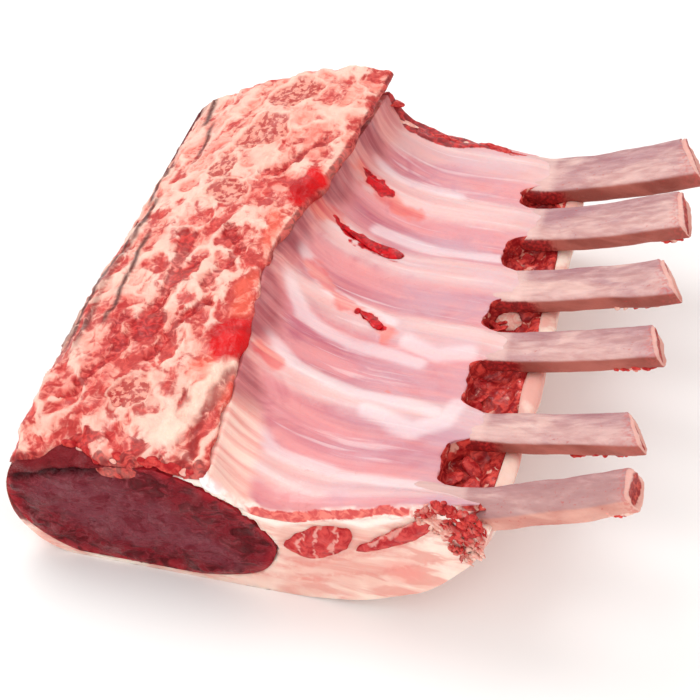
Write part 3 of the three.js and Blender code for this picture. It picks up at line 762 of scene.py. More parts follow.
def lean_material():
    material, shader, start = flesh("lean_eye", wetness=0.45, depth_of_light=1.0, subsurface=0.12)
    broad = grain(start, 15, detail=4, twist=0.6)
    fibres = grain(start, 3.2, detail=6, stretch=(0.75, 1.0, 1.3), twist=0.9)
    fine = grain(start, 1.2, detail=4)
    colour = fibres.blend(0.3, 0.68, (82, 2, 12), (132, 20, 34))
    colour = (broad.fade(0.46, 0.32) * 0.7).over(colour, tint(106, 2, 14))
    # Painted sheen: a lighter grey-purple reflection painted into the middle of the cut face
    sheen = fibres.blend(0.35, 0.65, (136, 60, 72), (104, 24, 38))
    wet_sheen = (painted(start, "sheen") + broad * 1.2 + fibres * 0.5 - 0.85).fade(0.15, 0.75)
    colour = (wet_sheen * 0.75).over(colour, sheen)
    # Thin light threads in the grain, painted also as the faint lines of wet highlight
    threads_and_glints = (fibres - 0.52).sum("ABSOLUTE", fibres - 0.52).fade(0.025, 0.0)
    colour = (threads_and_glints * 0.3).over(colour, tint(168, 80, 90))
    colour = (painted(start, "rim") * fibres.fade(0.3, 0.6) * 0.8).over(colour, tint(170, 26, 38))
    flap = fibres.blend(0.35, 0.6, (126, 12, 22), (76, 2, 12))
    colour = (painted(start, "flap") * 0.6).over(colour, flap)
    # Painted shade: near black in the crease under the flap
    colour = (painted(start, "groove") * 0.85).over(colour, tint(48, 0, 6))
    roughness = 0.34 + 0.2 * fibres
    finish_flesh(shader, colour, roughness, fibres + fine * 0.4 + broad * 1.6, 1.5)
    return material


def eye_masks(x, y, z):
    ring = eye_ring(0)[:, [0, 2]]
    rim = np.sqrt(((np.stack([x, z], 1)[:, None] - ring[None]) ** 2).sum(2).min(1))
    above = smooth(-0.3, 0.6, z - np.interp(x, *zip(*FLAP_EDGE))) * smooth(36, 28, x)
    # sheen: where the painted reflection lies
    sheen = np.maximum(spot(x, z, (25, 19), (21, 8.5), -12, 0.8), spot(x, z, (47, 12), (9, 4), -25, 0.8))
    # groove: where the painted shade of the crease under the flap lies
    return {"rim": 1 - smooth(0.3, 2.6, rim), "flap": above, "groove": streak(x, z, FLAP_EDGE, 0.8, 0.8),
            "sheen": sheen}


rings = np.array([eye_ring(y) for y in np.linspace(0.0, LENGTH, 40)])
eye = slab("lean_eye", rings, lean_material(), eye_relief, eye_relief, 0.75, eye_masks)
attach(eye, "root")
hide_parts("eye_muscle")


# Fat cap
# The firm cream fat under the meat, flattened where the rack lies on it. It curls up past the frenched line
# into a rim under the bones, and its cut face shows whiter seams round the muscles.

FLAT_END = lambda y: 66 + 18 * y / LENGTH
WHITE_SEAM = ((43, 34.8), (50, 32.4), (56, 28.8), (61, 25.6), (66, 24.6), (72, 27.4), (80, 29.6),
              (87, 29.2), (95, 33.6))
THIN_SEAMS = (((54, 7), (69, 10.4), (83, 16.4), (96, 23.6), (103, 28.6)),
              ((60, 5.4), (74, 7.4), (90, 13), (104, 20)),
              ((66, 13.4), (74, 12.2), (84, 18.6)), ((86, 18), (96, 26.2), (101, 31)))
PINK_SMUDGE = (97, 15.5)


def cap_rings(rows):
    y = rows[:, None]
    flat_end = FLAT_END(y)
    rim, top = rim_x(y), rim_z(y)
    turn = np.linspace(0, np.pi / 2, 44)
    bottom = FLAT_START_X + (flat_end - FLAT_START_X) * np.linspace(0, 1, 30)[:-1]
    curl_x = flat_end + (rim - flat_end) * np.sin(turn)
    curl_z = top * (1 - np.cos(turn))
    round_over = np.linspace(0, np.pi, 10)[1:]
    crest_x = rim - RIM_WIDTH / 2 * (1 - np.cos(round_over)) - 0.2
    crest_z = top + 1.2 * np.sin(round_over) ** 0.7 * (0.8 + 0.2 * noise(0, y / 3, 0, 81))
    inner_x = rim - RIM_WIDTH - np.array([[0.3, 2.0]])
    front = 1 - smooth(7, 15, y)
    inner_z = top - np.array([[0.4, 0.2]]) - (1 - front) * np.array([[1.2, 5.8]])
    back = np.linspace(1, 0, 26)[1:]
    left_x = 4.0
    under_x = left_x + (inner_x[:, -1:] - left_x) * back
    beneath_wall = under_wall(np.maximum(under_x, ridge_x(y) + 3), y) + 1.2
    beneath_wall = np.minimum(beneath_wall, inner_z[:, -1:] + (8 + 60 * front) * (1 - back))
    beneath_chine = face_z(under_x, y) - 2.6
    beneath_chine = np.minimum(beneath_chine, hollow_z(ridge_x(y) + 3, y) - 1.4)
    under_z = np.where(under_x > ridge_x(y) + 3, beneath_wall, beneath_chine)
    reach = side_reach(y)
    top_turn = np.arccos((FLAT_START_X - SHOULDER_X) / reach)
    upper = (shoulder_z(y) - SIDE_CENTRE_Z) / np.sin(top_turn)
    turn = np.linspace(1, 0, 26)[:-1] * (top_turn - 0.22 + np.pi / 2) - np.pi / 2
    side_x = FLAT_START_X - reach * np.cos(turn)
    side_z = SIDE_CENTRE_Z + np.where(turn > 0, upper, SIDE_CENTRE_Z) * np.sin(turn)
    ring_x = np.concatenate([bottom + 0 * y, curl_x, crest_x, inner_x, under_x, side_x], 1)
    ring_z = np.concatenate([0 * bottom, curl_z, crest_z, inner_z, under_z, side_z], 1)
    return np.stack([ring_x, np.broadcast_to(y, ring_x.shape), ring_z], 2)


def cap_relief(x, z, rim):
    behind = within(eye_ring(0)[:, [0, 2]], np.stack([x, z], 1))
    seam = 0.7 * streak(x, z, WHITE_SEAM, 1.3, 0.8)
    return (seam + 0.3 * crumple(x / 8, z / 3, 0, 82)) * smooth(0, 2, rim) - 3.0 * behind


def fat_masks(x, y, z):
    at_cut = 1 - smooth(0.4, 2.5, y)
    rim = smooth(rim_x(y) - 9, rim_x(y) - 3, x) * smooth(24, 29, z)
    return {
        "seam": streak(x, z, WHITE_SEAM, 1.5, 0.7) * at_cut,
        "thin_seam": np.max([streak(x, z + 0.6 * noise(x / 5, 0, 0, 85), path, 0.55, 0.95)
                             for path in THIN_SEAMS], axis=0)
        * at_cut,
        "smudge": spot(x, z, PINK_SMUDGE, (4.2, 3), 0, 0.8) * at_cut,
        "rim": rim,
        "lean_side": smooth(10, 4, x) * smooth(5, 11, z + 2.5 * noise(y / 12, z / 6, 0, 83)),
    }


def fat_material():
    material, shader, start = flesh("firm_fat", wetness=0.15, depth_of_light=2.4, subsurface=0.4)
    broad = grain(start, 22, detail=4, twist=0.5)
    layers = grain(start, 5, detail=4, stretch=(0.3, 0.3, 1.3), twist=0.6)
    fine = grain(start, 1.6, detail=4)
    colour = broad.blend(0.35, 0.65, (247, 222, 208), (234, 188, 174))
    colour = (layers.fade(0.46, 0.6) * 0.85).over(colour, tint(226, 160, 148))
    colour = (layers.fade(0.44, 0.3) * 0.5).over(colour, tint(253, 232, 216))
    colour = (painted(start, "smudge") * (0.45 + fine * 0.5)).over(colour, tint(236, 146, 136))
    colour = (painted(start, "thin_seam") * fine.fade(0.3, 0.55) * 0.6).over(colour, tint(222, 138, 128))
    colour = (painted(start, "seam") * 0.85).over(colour, tint(254, 240, 230))
    meat = layers.blend(0.35, 0.62, (140, 34, 44), (98, 12, 24))
    lean = (painted(start, "lean_side") + layers * 0.8 - 0.45).fade(0.35, 0.7)
    colour = (lean * 0.92).over(colour, meat)
    roughness = 0.46 + 0.1 * broad
    finish_flesh(shader, colour, roughness, broad * 2.0 + layers + fine * 0.2, 0.5)
    return material


rows = np.concatenate([[0.35, 0.7], np.linspace(1.4, LENGTH - 1.4, 120), LENGTH - np.array([0.7, 0.35])])
points = cap_rings(rows)
x, y, z = points[..., 0], points[..., 1], points[..., 2]
lift = (0.5 * crumple(x / 14, y / 18, z / 10, 84) - 0.1) * smooth(0.2, 4, z)
points = points + normals_of(points) * lift[..., None]
points[..., 2] = np.maximum(points[..., 2], 0)
fat = slab("firm_fat", points, fat_material(), cap_relief, cap_relief, 1.1, fat_masks)
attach(fat, "root")
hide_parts("fat_cap")


# Cap and flank muscles
# Two thin muscles run through the fat between the eye and the bones. At the cut the first is a small oval in
# two or three lobes with pale seams, and the second a narrow strip that leans up to the front bone.

CAP_MUSCLE = [(67.8, 17), (72, 22.6), (78, 26), (83.2, 26), (84.2, 22.6), (80.6, 17.8), (74, 14.8)]
FLANK_MUSCLE = [(85.2, 20), (91, 27), (97, 33.2), (101.5, 37), (103, 33.6), (97.5, 27), (91, 22.2)]
LOBE_SEAMS = [((76.2, 14), (75.2, 20), (77.2, 27)), ((80.2, 16), (79.4, 21), (81.4, 27)),
              ((71.6, 17), (72.4, 23)), ((89, 22.5), (95, 29.5), (99.5, 34))]


def lobe_relief(x, z, rim):
    seams = np.max([streak(x, z, path, 0.5, 0.9) for path in LOBE_SEAMS], axis=0)
    return 1.0 * smooth(0, 2.2, rim) - 0.6 * seams + 0.2 * noise(x / 1.2, z / 1.2, 0, 91)


def lobe_masks(x, y, z):
    bent = x + 0.9 * noise(x / 2, z / 2, 0, 92) + 0.4 * noise(x / 0.8, z / 0.8, 0, 93)
    return {"seam": np.max([streak(bent, z, path, 0.45, 0.95) for path in LOBE_SEAMS], axis=0)}


def red_meat_material():
    material, shader, start = flesh("red_meat", wetness=0.4, depth_of_light=1.0, subsurface=0.15)
    fibres = grain(start, 2.4, detail=5, twist=0.8)
    colour = fibres.blend(0.34, 0.64, (172, 26, 34), (212, 72, 68))
    seam = (painted(start, "seam") + fibres * 0.6 - 0.3).fade(0.25, 0.9)
    colour = (seam * 0.7).over(colour, tint(240, 176, 164))
    finish_flesh(shader, colour, 0.38 + 0.14 * fibres, fibres, 0.5)
    return material


red_meat = red_meat_material()
for name, node, knots, drift in (("cap_oval", "cap_muscle", CAP_MUSCLE, -3),
                                 ("flank_strip", "flank_muscle", FLANK_MUSCLE, 2)):
    rings = []
    for y in np.linspace(-0.25, LENGTH + 0.25, 24):
        ring = closed_curve(knots, 64) + [drift * float(smooth(0, LENGTH, y)), 0]
        ring += np.stack([0.35 * noise(ring[:, 0] / 2.2, ring[:, 1] / 2.2, 0, seed) for seed in (94, 95)], 1)
        low = ring[:, 1].min()
        room = (under_wall(ring[:, 0], y) + 0.3 - low) / np.maximum(ring[:, 1] - low, 0.5)
        ring[:, 1] = low + (ring[:, 1] - low) * min(1, room.min())
        rings.append(np.stack([ring[:, 0], np.full(len(ring), y), ring[:, 1]], 1))
    muscle = slab(name, np.array(rings), red_meat, lobe_relief, lobe_relief, 0.6, lobe_masks)
    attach(muscle, "root")
    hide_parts(node)


# Ribs
# Flat, slightly curved bones, scraped bare outside the meat and still damp, with the sawn tip showing red
# marrow in a pale rim. Under the skin they run on towards the chine. Each is swept along its own line.

ROOT_X = FRENCH_X + 2
BARE_FROM = 98.0
TIP_EDGE = 0.7  # how far the rounded edge of the sawn end reaches


def rib_line(rib, x):
    """Middle of a rib at x, and the slope of its line."""
    tip_x, tip_y, tip_z = rib["tip"]
    share = np.clip((x - ROOT_X) / (tip_x - ROOT_X), 0, 1)
    y = rib_y(rib, x) + (tip_y - rib["root_y"]) * share**1.2
    half = rib["thickness"] / 2
    start = ridge_x(y) + WALL_LEDGE
    crest = lambda u: hollow_z(u, y) + RIB_RELIEF * smooth(start, start + 12, u)
    root_z = hollow_z(ROOT_X, y) + RIB_RELIEF - SKIN - half
    inside = x <= ROOT_X
    slope_in = crest(x + 0.5) - crest(x - 0.5)
    rise = tip_z - half - root_z
    slope_out = rise * 1.25 * share**0.25 / (tip_x - ROOT_X)
    slope = np.where(inside, slope_in, slope_out)
    length = np.hypot(1, slope_in)
    middle_x = np.where(inside, x + slope_in / length * (SKIN + half), x)
    middle_z = np.where(inside, crest(x) - (SKIN + half) / length, root_z + rise * share**1.25)
    return middle_x, y, middle_z, slope


def bone_material():
    material, shader, start = flesh("scraped_bone", wetness=0.2, depth_of_light=0.8, subsurface=0.15)
    streaks = grain(start, 2.2, detail=5, stretch=(0.16, 1.0, 1.0), twist=0.3)
    patches = grain(start, 8, detail=4, stretch=(0.4, 1.0, 1.0), twist=0.5)
    fine = grain(start, 0.9, detail=4)
    near = streaks.blend(0.3, 0.7, (220, 180, 174), (196, 148, 144))
    far = streaks.blend(0.3, 0.7, (194, 150, 150), (164, 114, 118))
    top = (painted(start, "across") + patches * 2.4 - 1.2).fade(-0.7, 0.9).over(near, far)
    top = (patches.fade(0.5, 0.7) * 0.4).over(top, tint(168, 120, 130))
    top = (patches.fade(0.44, 0.3) * 0.4).over(top, tint(238, 200, 188))
    side = patches.blend(0.34, 0.66, (184, 106, 94), (150, 78, 68))
    # front: on the front bone the side is painted paler as painted light from below, and the top is a darker
    # tone
    front = painted(start, "front")
    top = (front * patches.fade(0.3, 0.6) * 0.7).over(top, tint(168, 122, 120))
    side = (front * 0.85).over(side, patches.blend(0.3, 0.7, (236, 184, 168), (204, 138, 126)))
    colour = painted(start, "side").fade(0.15, 0.85).over(top, side)
    colour = (fine.fade(0.6, 0.72) * patches.fade(0.45, 0.6) * 0.6).over(colour, tint(190, 74, 70))
    colour = (painted(start, "tip") * fine.fade(0.42, 0.6) * 0.5).over(colour, tint(204, 92, 86))
    colour = (painted(start, "edge").fade(0.2, 0.9) * 0.7).over(colour, tint(240, 184, 170))
    marrow = (painted(start, "marrow") + fine * 0.5 - 0.25).fade(0.3, 0.8)
    colour = marrow.over(colour, fine.blend(0.35, 0.6, (206, 84, 72), (150, 34, 34)))
    sleeve = (painted(start, "sleeve") + patches * 0.5 - 0.25).fade(0.3, 0.9) * (1 - painted(start, "side"))
    colour = (sleeve * 0.55).over(colour, tint(234, 196, 188))
    root = (painted(start, "root") * painted(start, "side") + fine * 0.6 - 0.3).fade(0.3, 0.8)
    colour = (root * 0.85).over(colour, fine.blend(0.35, 0.6, (190, 40, 42), (128, 14, 22)))
    finish_flesh(shader, colour, 0.42 + 0.16 * streaks, streaks + fine * 0.5 + patches, 0.4)
    return material


def sweep_tree():
    """Sweeps a rounded section along lines of points, which carry half_width, half_height, recess and tip."""
    tree = bpy.data.node_groups.new("sweep", "GeometryNodeTree")
    sizes = (("Sides", "Int", 48), ("Squareness", "Float", 0.6), ("Roughness", "Float", 0.0002),
             ("Grain", "Float", 0.003), ("Chips", "Float", 0.0), ("Skew", "Float", 0.0),
             ("Slant", "Float", 0.0), ("Seed", "Float", 0.0))
    tree.interface.new_socket("Lines", in_out="INPUT", socket_type="NodeSocketGeometry")
    for name, kind, value in sizes:
        tree.interface.new_socket(name, in_out="INPUT", socket_type="NodeSocket" + kind).default_value = value
    tree.interface.new_socket("Material", in_out="INPUT", socket_type="NodeSocketMaterial")
    tree.interface.new_socket("Geometry", in_out="OUTPUT", socket_type="NodeSocketGeometry")
    given = {socket.name: Wire(tree, socket) for socket in tree.nodes.new("NodeGroupInput").outputs}
    start = Wire(tree)

    def vector(operation, *values):
        return start.node("ShaderNodeVectorMath", {"operation": operation}, dict(enumerate(values)))

    def scaled(direction, amount):
        return start.node("ShaderNodeVectorMath", {"operation": "SCALE"}, {0: direction, "Scale": amount})

    def stored(geometry, name, kind, value):
        inputs = {"Geometry": geometry, "Name": name, "Value": value}
        return start.node("GeometryNodeStoreNamedAttribute", {"data_type": kind}, inputs)

    def read(name, kind="FLOAT"):
        return start.node("GeometryNodeInputNamedAttribute", {"data_type": kind}, {"Name": name})

    def bulge(amount):
        """Fills the corners of a round section, by raising the size of amount to Squareness."""
        size = start.sum("POWER", start.sum("ABSOLUTE", amount), given["Squareness"])
        return start.sum("SIGN", amount) * size

    line = start.node("GeometryNodeMeshToCurve", {}, {"Mesh": given["Lines"]})
    line = stored(line, "middle", "FLOAT_VECTOR", start.node("GeometryNodeInputPosition"))
    line = stored(line, "ahead", "FLOAT_VECTOR", start.node("GeometryNodeInputTangent"))
    ring = start.node("GeometryNodeCurvePrimitiveCircle", {}, {"Resolution": given["Sides"], "Radius": 1.0})
    ring = stored(ring, "round", "FLOAT_VECTOR", start.node("GeometryNodeInputPosition"))
    inputs = {"Curve": line, "Profile Curve": ring, "Fill Caps": True}
    tube = start.node("GeometryNodeCurveToMesh", {}, inputs)
    ahead = read("ahead", "FLOAT_VECTOR")
    across = vector("NORMALIZE", vector("CROSS_PRODUCT", (0, 0, 1), ahead))
    up = vector("CROSS_PRODUCT", ahead, across)
    split = tree.nodes.new("ShaderNodeSeparateXYZ")
    tree.links.new(read("round", "FLOAT_VECTOR").socket, split.inputs[0])
    wide, high = bulge(Wire(tree, split.outputs[0])), bulge(Wire(tree, split.outputs[1]))
    place = vector("ADD", read("middle", "FLOAT_VECTOR"), scaled(across, wide * read("half_width")))
    place = vector("ADD", place, scaled(up, high * read("half_height")))
    settings = {"Vector": vector("MULTIPLY", place, (0.35, 1, 1)), "W": given["Seed"], "Detail": 3.0}
    settings["Scale"] = start.sum("DIVIDE", 1.0, given["Grain"])
    bumps = start.node("ShaderNodeTexNoise", {"noise_dimensions": "4D"}, settings) - 0.5
    settings = {"Vector": place, "W": given["Seed"] + 7.0, "Scale": 420.0, "Detail": 2.0}
    chips = start.node("ShaderNodeTexNoise", {"noise_dimensions": "4D"}, settings) - 0.42
    outward = vector("NORMALIZE", vector("SUBTRACT", place, read("middle", "FLOAT_VECTOR")))
    place = vector("ADD", place, scaled(outward, bumps * given["Roughness"] * read("rough")))
    skew = wide * read("half_width") * given["Skew"] - high * read("half_height") * given["Slant"]
    skew = skew * read("tip")
    place = vector("ADD", place, scaled(ahead, skew - read("recess") - chips * given["Chips"] * read("tip")))
    tube = start.node("GeometryNodeSetPosition", {}, {"Geometry": tube, "Position": place})
    tube = stored(tube, "side", "FLOAT", high.fade(0.86, 0.4))
    tube = stored(tube, "across", "FLOAT", wide)
    tube = start.node("GeometryNodeSetShadeSmooth", {}, {"Geometry": tube})
    for name in ("middle", "ahead", "round"):
        tube = start.node("GeometryNodeRemoveAttribute", {}, {"Geometry": tube, "Name": name})
    tube = start.node("GeometryNodeSetMaterial", {}, {"Geometry": tube, "Material": given["Material"]})
    tube = start.node("GeometryNodeRealizeInstances", {}, {"Geometry": tube})
    tree.links.new(tube.socket, tree.nodes.new("NodeGroupOutput").inputs[0])
    return tree


def grown(name, lines, tree, values):
    """Runs a tree on lines of points, each a dict of arrays, and gives the result back as a plain mesh."""
    mesh = bpy.data.meshes.new(name + "_line")
    points = np.concatenate([line["points"] for line in lines])
    starts = np.cumsum([0] + [len(line["points"]) for line in lines])
    edges = [(i, i + 1) for a, b in zip(starts, starts[1:]) for i in range(a, b - 1)]
    mesh.from_pydata(((points + np.array(CORNER)) / 1000).tolist(), edges, [])
    for key in lines[0]:
        if key != "points":
            layer = mesh.attributes.new(key, "FLOAT", "POINT")
            layer.data.foreach_set("value", np.concatenate([line[key] for line in lines]))
    source = bpy.data.objects.new(name + "_line", mesh)
    bpy.context.scene.collection.objects.link(source)
    modifier = source.modifiers.new("grow", "NODES")
    modifier.node_group = tree
    for socket in tree.interface.items_tree:
        if socket.in_out == "INPUT" and socket.name in values:
            modifier[socket.identifier] = values[socket.name]
    grown_mesh = bpy.data.meshes.new_from_object(source.evaluated_get(bpy.context.evaluated_depsgraph_get()))
    source.modifiers.remove(modifier)
    bpy.data.objects.remove(source)
    made = bpy.data.objects.new(name, grown_mesh)
    bpy.context.scene.collection.objects.link(made)
    return made


scraped_bone = bone_material()
sweep = sweep_tree()
for number, rib in enumerate(RIBS):
    head = float(ridge_x(rib["root_y"] + rib["lean"])) + WALL_LEDGE + 4
    tip = rib["tip"][0]
    quarter = np.linspace(0, np.pi / 2, 6)[1:]
    xs = np.concatenate([np.linspace(head, BARE_FROM, 16)[:-1], np.linspace(BARE_FROM, tip - TIP_EDGE, 96)])
    closing = np.linspace(0.5, rib["thickness"] / 2 - 0.06, 9)[1:]
    inset = np.concatenate([0 * xs, 0.5 * (1 - np.cos(quarter)), closing])
    xs = np.concatenate([xs, tip - TIP_EDGE + TIP_EDGE * np.sin(quarter), tip + 0.02 * np.arange(1, 9)])
    x, y, z, slope = rib_line(rib, xs)
    out = np.clip((xs - ROOT_X) / (tip - ROOT_X), 0, 1)
    bare = smooth(BARE_FROM - 3, BARE_FROM, xs)
    uneven = 1 + 0.05 * noise(xs / 12, number * 5.1, 0, 102) * bare
    half_width = rib["width"] / 2 * (1 + 0.14 * out**2) * uneven
    half_width = half_width * (0.8 + 0.2 * bare)
    y = y + 0.5 * noise(xs / 14, number * 3.7, 0, 101) * bare
    closed = np.maximum(0, np.arange(len(xs)) - len(xs) + 9)
    line = {
        "points": np.stack([x, y, z - 0.5 * (1 - bare)], 1),
        "half_width": np.maximum(half_width - 1.9 * inset, 0.1) / 1000,
        "half_height": (rib["thickness"] / 2 - inset) * (0.85 + 0.15 * bare) / 1000,
        "recess": (0.35 * smooth(0.9, 1.8, inset) + 0.02 * closed) / 1000,
        "rough": bare * (inset < 0.6),
        "tip": smooth(tip - 4.5, tip, xs),
        "edge": smooth(0.02, 0.3, inset) * (1 - smooth(0.6, 1.1, inset)),
        "marrow": smooth(0.5, 1.1, inset),
        "root": smooth(ROOT_X + 14, ROOT_X + 2, xs),
        "sleeve": smooth(ROOT_X + 7, ROOT_X + 1, xs),
        "front": bare * (number == 0),  # the front bone's side painted paler, as painted light from below, and its top a darker tone
    }
    sizes = {"Sides": 56, "Squareness": 0.5, "Roughness": 0.0011, "Grain": 0.0035, "Chips": 0.0014,
             "Skew": rib["skew"], "Slant": 0.42, "Seed": float(number), "Material": scraped_bone}
    bone = grown(rib["name"] + "_bone", [line], sweep, sizes)
    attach(bone, "root")
    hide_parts(rib["name"])


# Front shreds
# Round the foot of the front bone the knife has left a mass of short shreds, red meat above and cream fat
# below. They hang from the skin's edge, and each is swept along its own line.

def shred_material():
    material, shader, start = flesh("shreds", wetness=0.35, depth_of_light=1.0, subsurface=0.2)
    fine = grain(start, 1.6, detail=4, twist=0.6)
    broad = grain(start, 5, detail=2)
    red = fine.blend(0.34, 0.62, (222, 76, 68), (174, 24, 30))
    cream = fine.blend(0.34, 0.62, (248, 206, 190), (236, 156, 142))
    colour = (painted(start, "pale") * 0.7 + broad * 1.2 + fine * 0.6 - 0.9).fade(0.2, 0.6).over(red, cream)
    finish_flesh(shader, colour, 0.36 + 0.2 * fine, fine, 0.5)
    return material


shred_paint = shred_material()


def thread(path, half_width, half_height, pale, count):
    """A tapering line of points through a path of (x, y, z)."""
    path = np.array(path, float)
    travelled = np.concatenate([[0], np.cumsum(np.linalg.norm(np.diff(path, axis=0), axis=1))])
    at = np.linspace(0, travelled[-1], count)
    points = np.stack([np.interp(at, travelled, path[:, k]) for k in range(3)], 1)
    taper = np.sin(np.pi * np.linspace(0.02, 0.98, count)) ** 0.6
    flat = np.zeros(count)
    return {"points": points, "half_width": half_width * taper / 1000,
            "half_height": half_height * taper / 1000,
            "recess": flat, "rough": flat + 1, "tip": flat, "pale": flat + pale}


rng = np.random.default_rng(12)
fan = []
for i in range(300):
    share = rng.uniform()
    x = 99.5 + 15 * share
    high = float(np.interp(x, (99, 102.4, 106, 108.5, 112.7, 115.6), (37, 40.4, 41.4, 39.6, 38.6, 35)))
    low = float(np.interp(x, (99, 103.8, 107.5, 111, 115.5), (35.5, 31.5, 26, 23.6, 28.6)))
    depth = rng.uniform()
    top = np.array([x, 0.5 - 0.5 * rng.uniform(), high + (low - high) * depth])
    run = rng.uniform(1.5, 4.5)
    end = top + [rng.uniform(-0.3, 0.9) * run, rng.uniform(-0.5, 0.3), -rng.uniform(0.3, 0.9) * run]
    end[0] = min(end[0], 115.5)
    middle = (top + end) / 2 + [rng.uniform(-0.9, 0.9), -0.2 - rng.uniform(0, 0.6), rng.uniform(-0.5, 0.8)]
    width = rng.uniform(0.4, 0.95) - 0.25 * depth
    cream = np.clip(0.1 + 0.9 * depth**2 + 0.3 * (x < 103) + rng.uniform(-0.3, 0.3), 0, 1)
    fan.append(thread([top, middle, end], width, width * 0.7, 0.9 * float(cream), 12))
sizes = {"Sides": 12, "Squareness": 1.0, "Roughness": 0.0022, "Grain": 0.002, "Seed": 5.0,
         "Material": shred_paint}
shreds = grown("front_shreds", fan, sweep, sizes)
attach(shreds, "root")


# Clots
# Blood has gathered on the skin in two short streaks that run down the hollow, thicker at their lower ends.

def clot_material():
    material, shader, start = flesh("clots", wetness=0.7, depth_of_light=1.5, subsurface=0.2)
    fine = grain(start, 2.0, detail=3, twist=0.5)
    colour = fine.blend(0.38, 0.62, (208, 2, 18), (150, 0, 12))
    finish_flesh(shader, colour, 0.2 + 0.1 * fine, fine, 0.4)
    return material


clots = []
for path, thin, thick in ((((57, 98.6), (62, 97.2), (67, 95.4), (71, 94.4), (75, 94)), 0.6, 3.0),
                          (((69.5, 68), (73, 65.6), (76.4, 63)), 0.7, 1.9)):
    x, y = np.array(path, float).T
    clot = thread(np.stack([x, y, wall_z(x, y)], 1), 1.0, 1.0, 0.0, 30)
    share = np.linspace(0, 1, 30)
    ends = np.minimum(1, 5 * np.minimum(share + 0.02, 1.02 - share)) ** 0.5
    swell = (thin + (thick - thin) * share**1.2) * ends
    clot["half_width"] = swell / 1000
    clot["half_height"] = (0.2 + 0.12 * swell) / 1000
    clots.append(clot)
sizes = {"Sides": 24, "Squareness": 1.0, "Roughness": 0.0006, "Grain": 0.004, "Seed": 8.0,
         "Material": clot_material()}
blood = grown("clots", clots, sweep, sizes)
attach(blood, "root")


# Scraps
# Small lumps of meat and fat are left where a saw or knife went through: along the lip over the eye, in the
# scoops between the bones, on the back edge and at some tips. Each line of them is scattered by one tree.

def scatter_tree():
    tree = bpy.data.node_groups.new("scatter", "GeometryNodeTree")
    tree.interface.new_socket("Lines", in_out="INPUT", socket_type="NodeSocketGeometry")
    sizes = (("Count", "Int", 20), ("Spread", "Vector", (0, 0, 0)), ("Smallest", "Vector", (0, 0, 0)),
             ("Largest", "Vector", (0, 0, 0)), ("Turn", "Float", 0.6), ("Lumpiness", "Float", 0.0005),
             ("Paleness", "Float", 0.3), ("Seed", "Int", 1))
    for name, kind, value in sizes:
        tree.interface.new_socket(name, in_out="INPUT", socket_type="NodeSocket" + kind).default_value = value
    tree.interface.new_socket("Material", in_out="INPUT", socket_type="NodeSocketMaterial")
    tree.interface.new_socket("Geometry", in_out="OUTPUT", socket_type="NodeSocketGeometry")
    given = {socket.name: Wire(tree, socket) for socket in tree.nodes.new("NodeGroupInput").outputs}
    start = Wire(tree)

    def vector(operation, *values):
        return start.node("ShaderNodeVectorMath", {"operation": operation}, dict(enumerate(values)))

    def random_vector(low, high, step):
        inputs = {0: low, 1: high, 8: given["Seed"] + step}
        return start.node("FunctionNodeRandomValue", {"data_type": "FLOAT_VECTOR"}, inputs)

    line = start.node("GeometryNodeMeshToCurve", {}, {"Mesh": given["Lines"]})
    points = start.node("GeometryNodeResampleCurve", {}, {"Curve": line, "Count": given["Count"]})
    spread = given["Spread"]
    offset = random_vector(vector("MULTIPLY", spread, (-1, -1, -1)), spread, 0)
    points = start.node("GeometryNodeSetPosition", {}, {"Geometry": points, "Offset": offset})
    lump = start.node("GeometryNodeMeshIcoSphere", {}, {"Radius": 1.0, "Subdivisions": 3})
    turn = start.node("ShaderNodeCombineXYZ", {}, {0: given["Turn"], 1: given["Turn"], 2: given["Turn"]})
    inputs = {"Points": points, "Instance": lump}
    inputs["Rotation"] = random_vector(vector("MULTIPLY", turn, (-1, -1, -1)), turn, 1)
    inputs["Scale"] = random_vector(given["Smallest"], given["Largest"], 2)
    lumps = start.node("GeometryNodeInstanceOnPoints", {}, inputs)
    chance = start.node("FunctionNodeRandomValue", {"data_type": "FLOAT"}, {8: given["Seed"] + 3}, output=1)
    pale = start.sum("LESS_THAN", chance, given["Paleness"])
    inputs = {"Geometry": lumps, "Name": "pale", "Value": pale}
    settings = {"data_type": "FLOAT", "domain": "INSTANCE"}
    lumps = start.node("GeometryNodeStoreNamedAttribute", settings, inputs)
    lumps = start.node("GeometryNodeRealizeInstances", {}, {"Geometry": lumps})
    bumps = start.node("ShaderNodeTexNoise", {}, {"Scale": 480.0, "Detail": 2.0}) - 0.5
    normal = start.node("GeometryNodeInputNormal")
    inputs = {0: normal, "Scale": bumps * given["Lumpiness"]}
    push = start.node("ShaderNodeVectorMath", {"operation": "SCALE"}, inputs)
    lumps = start.node("GeometryNodeSetPosition", {}, {"Geometry": lumps, "Offset": push})
    lumps = start.node("GeometryNodeSetShadeSmooth", {}, {"Geometry": lumps})
    lumps = start.node("GeometryNodeSetMaterial", {}, {"Geometry": lumps, "Material": given["Material"]})
    tree.links.new(lumps.socket, tree.nodes.new("NodeGroupOutput").inputs[0])
    return tree


scatter = scatter_tree()


def scraps(name, paths, slot, **values):
    """Scatters lumps along paths of (x, y, z). Sizes are given in millimetres."""
    for key in ("Spread", "Smallest", "Largest"):
        values[key] = [v / 1000 for v in values[key]]
    made = grown(name, [{"points": np.array(path, float)} for path in paths], scatter, values)
    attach(made, "root")


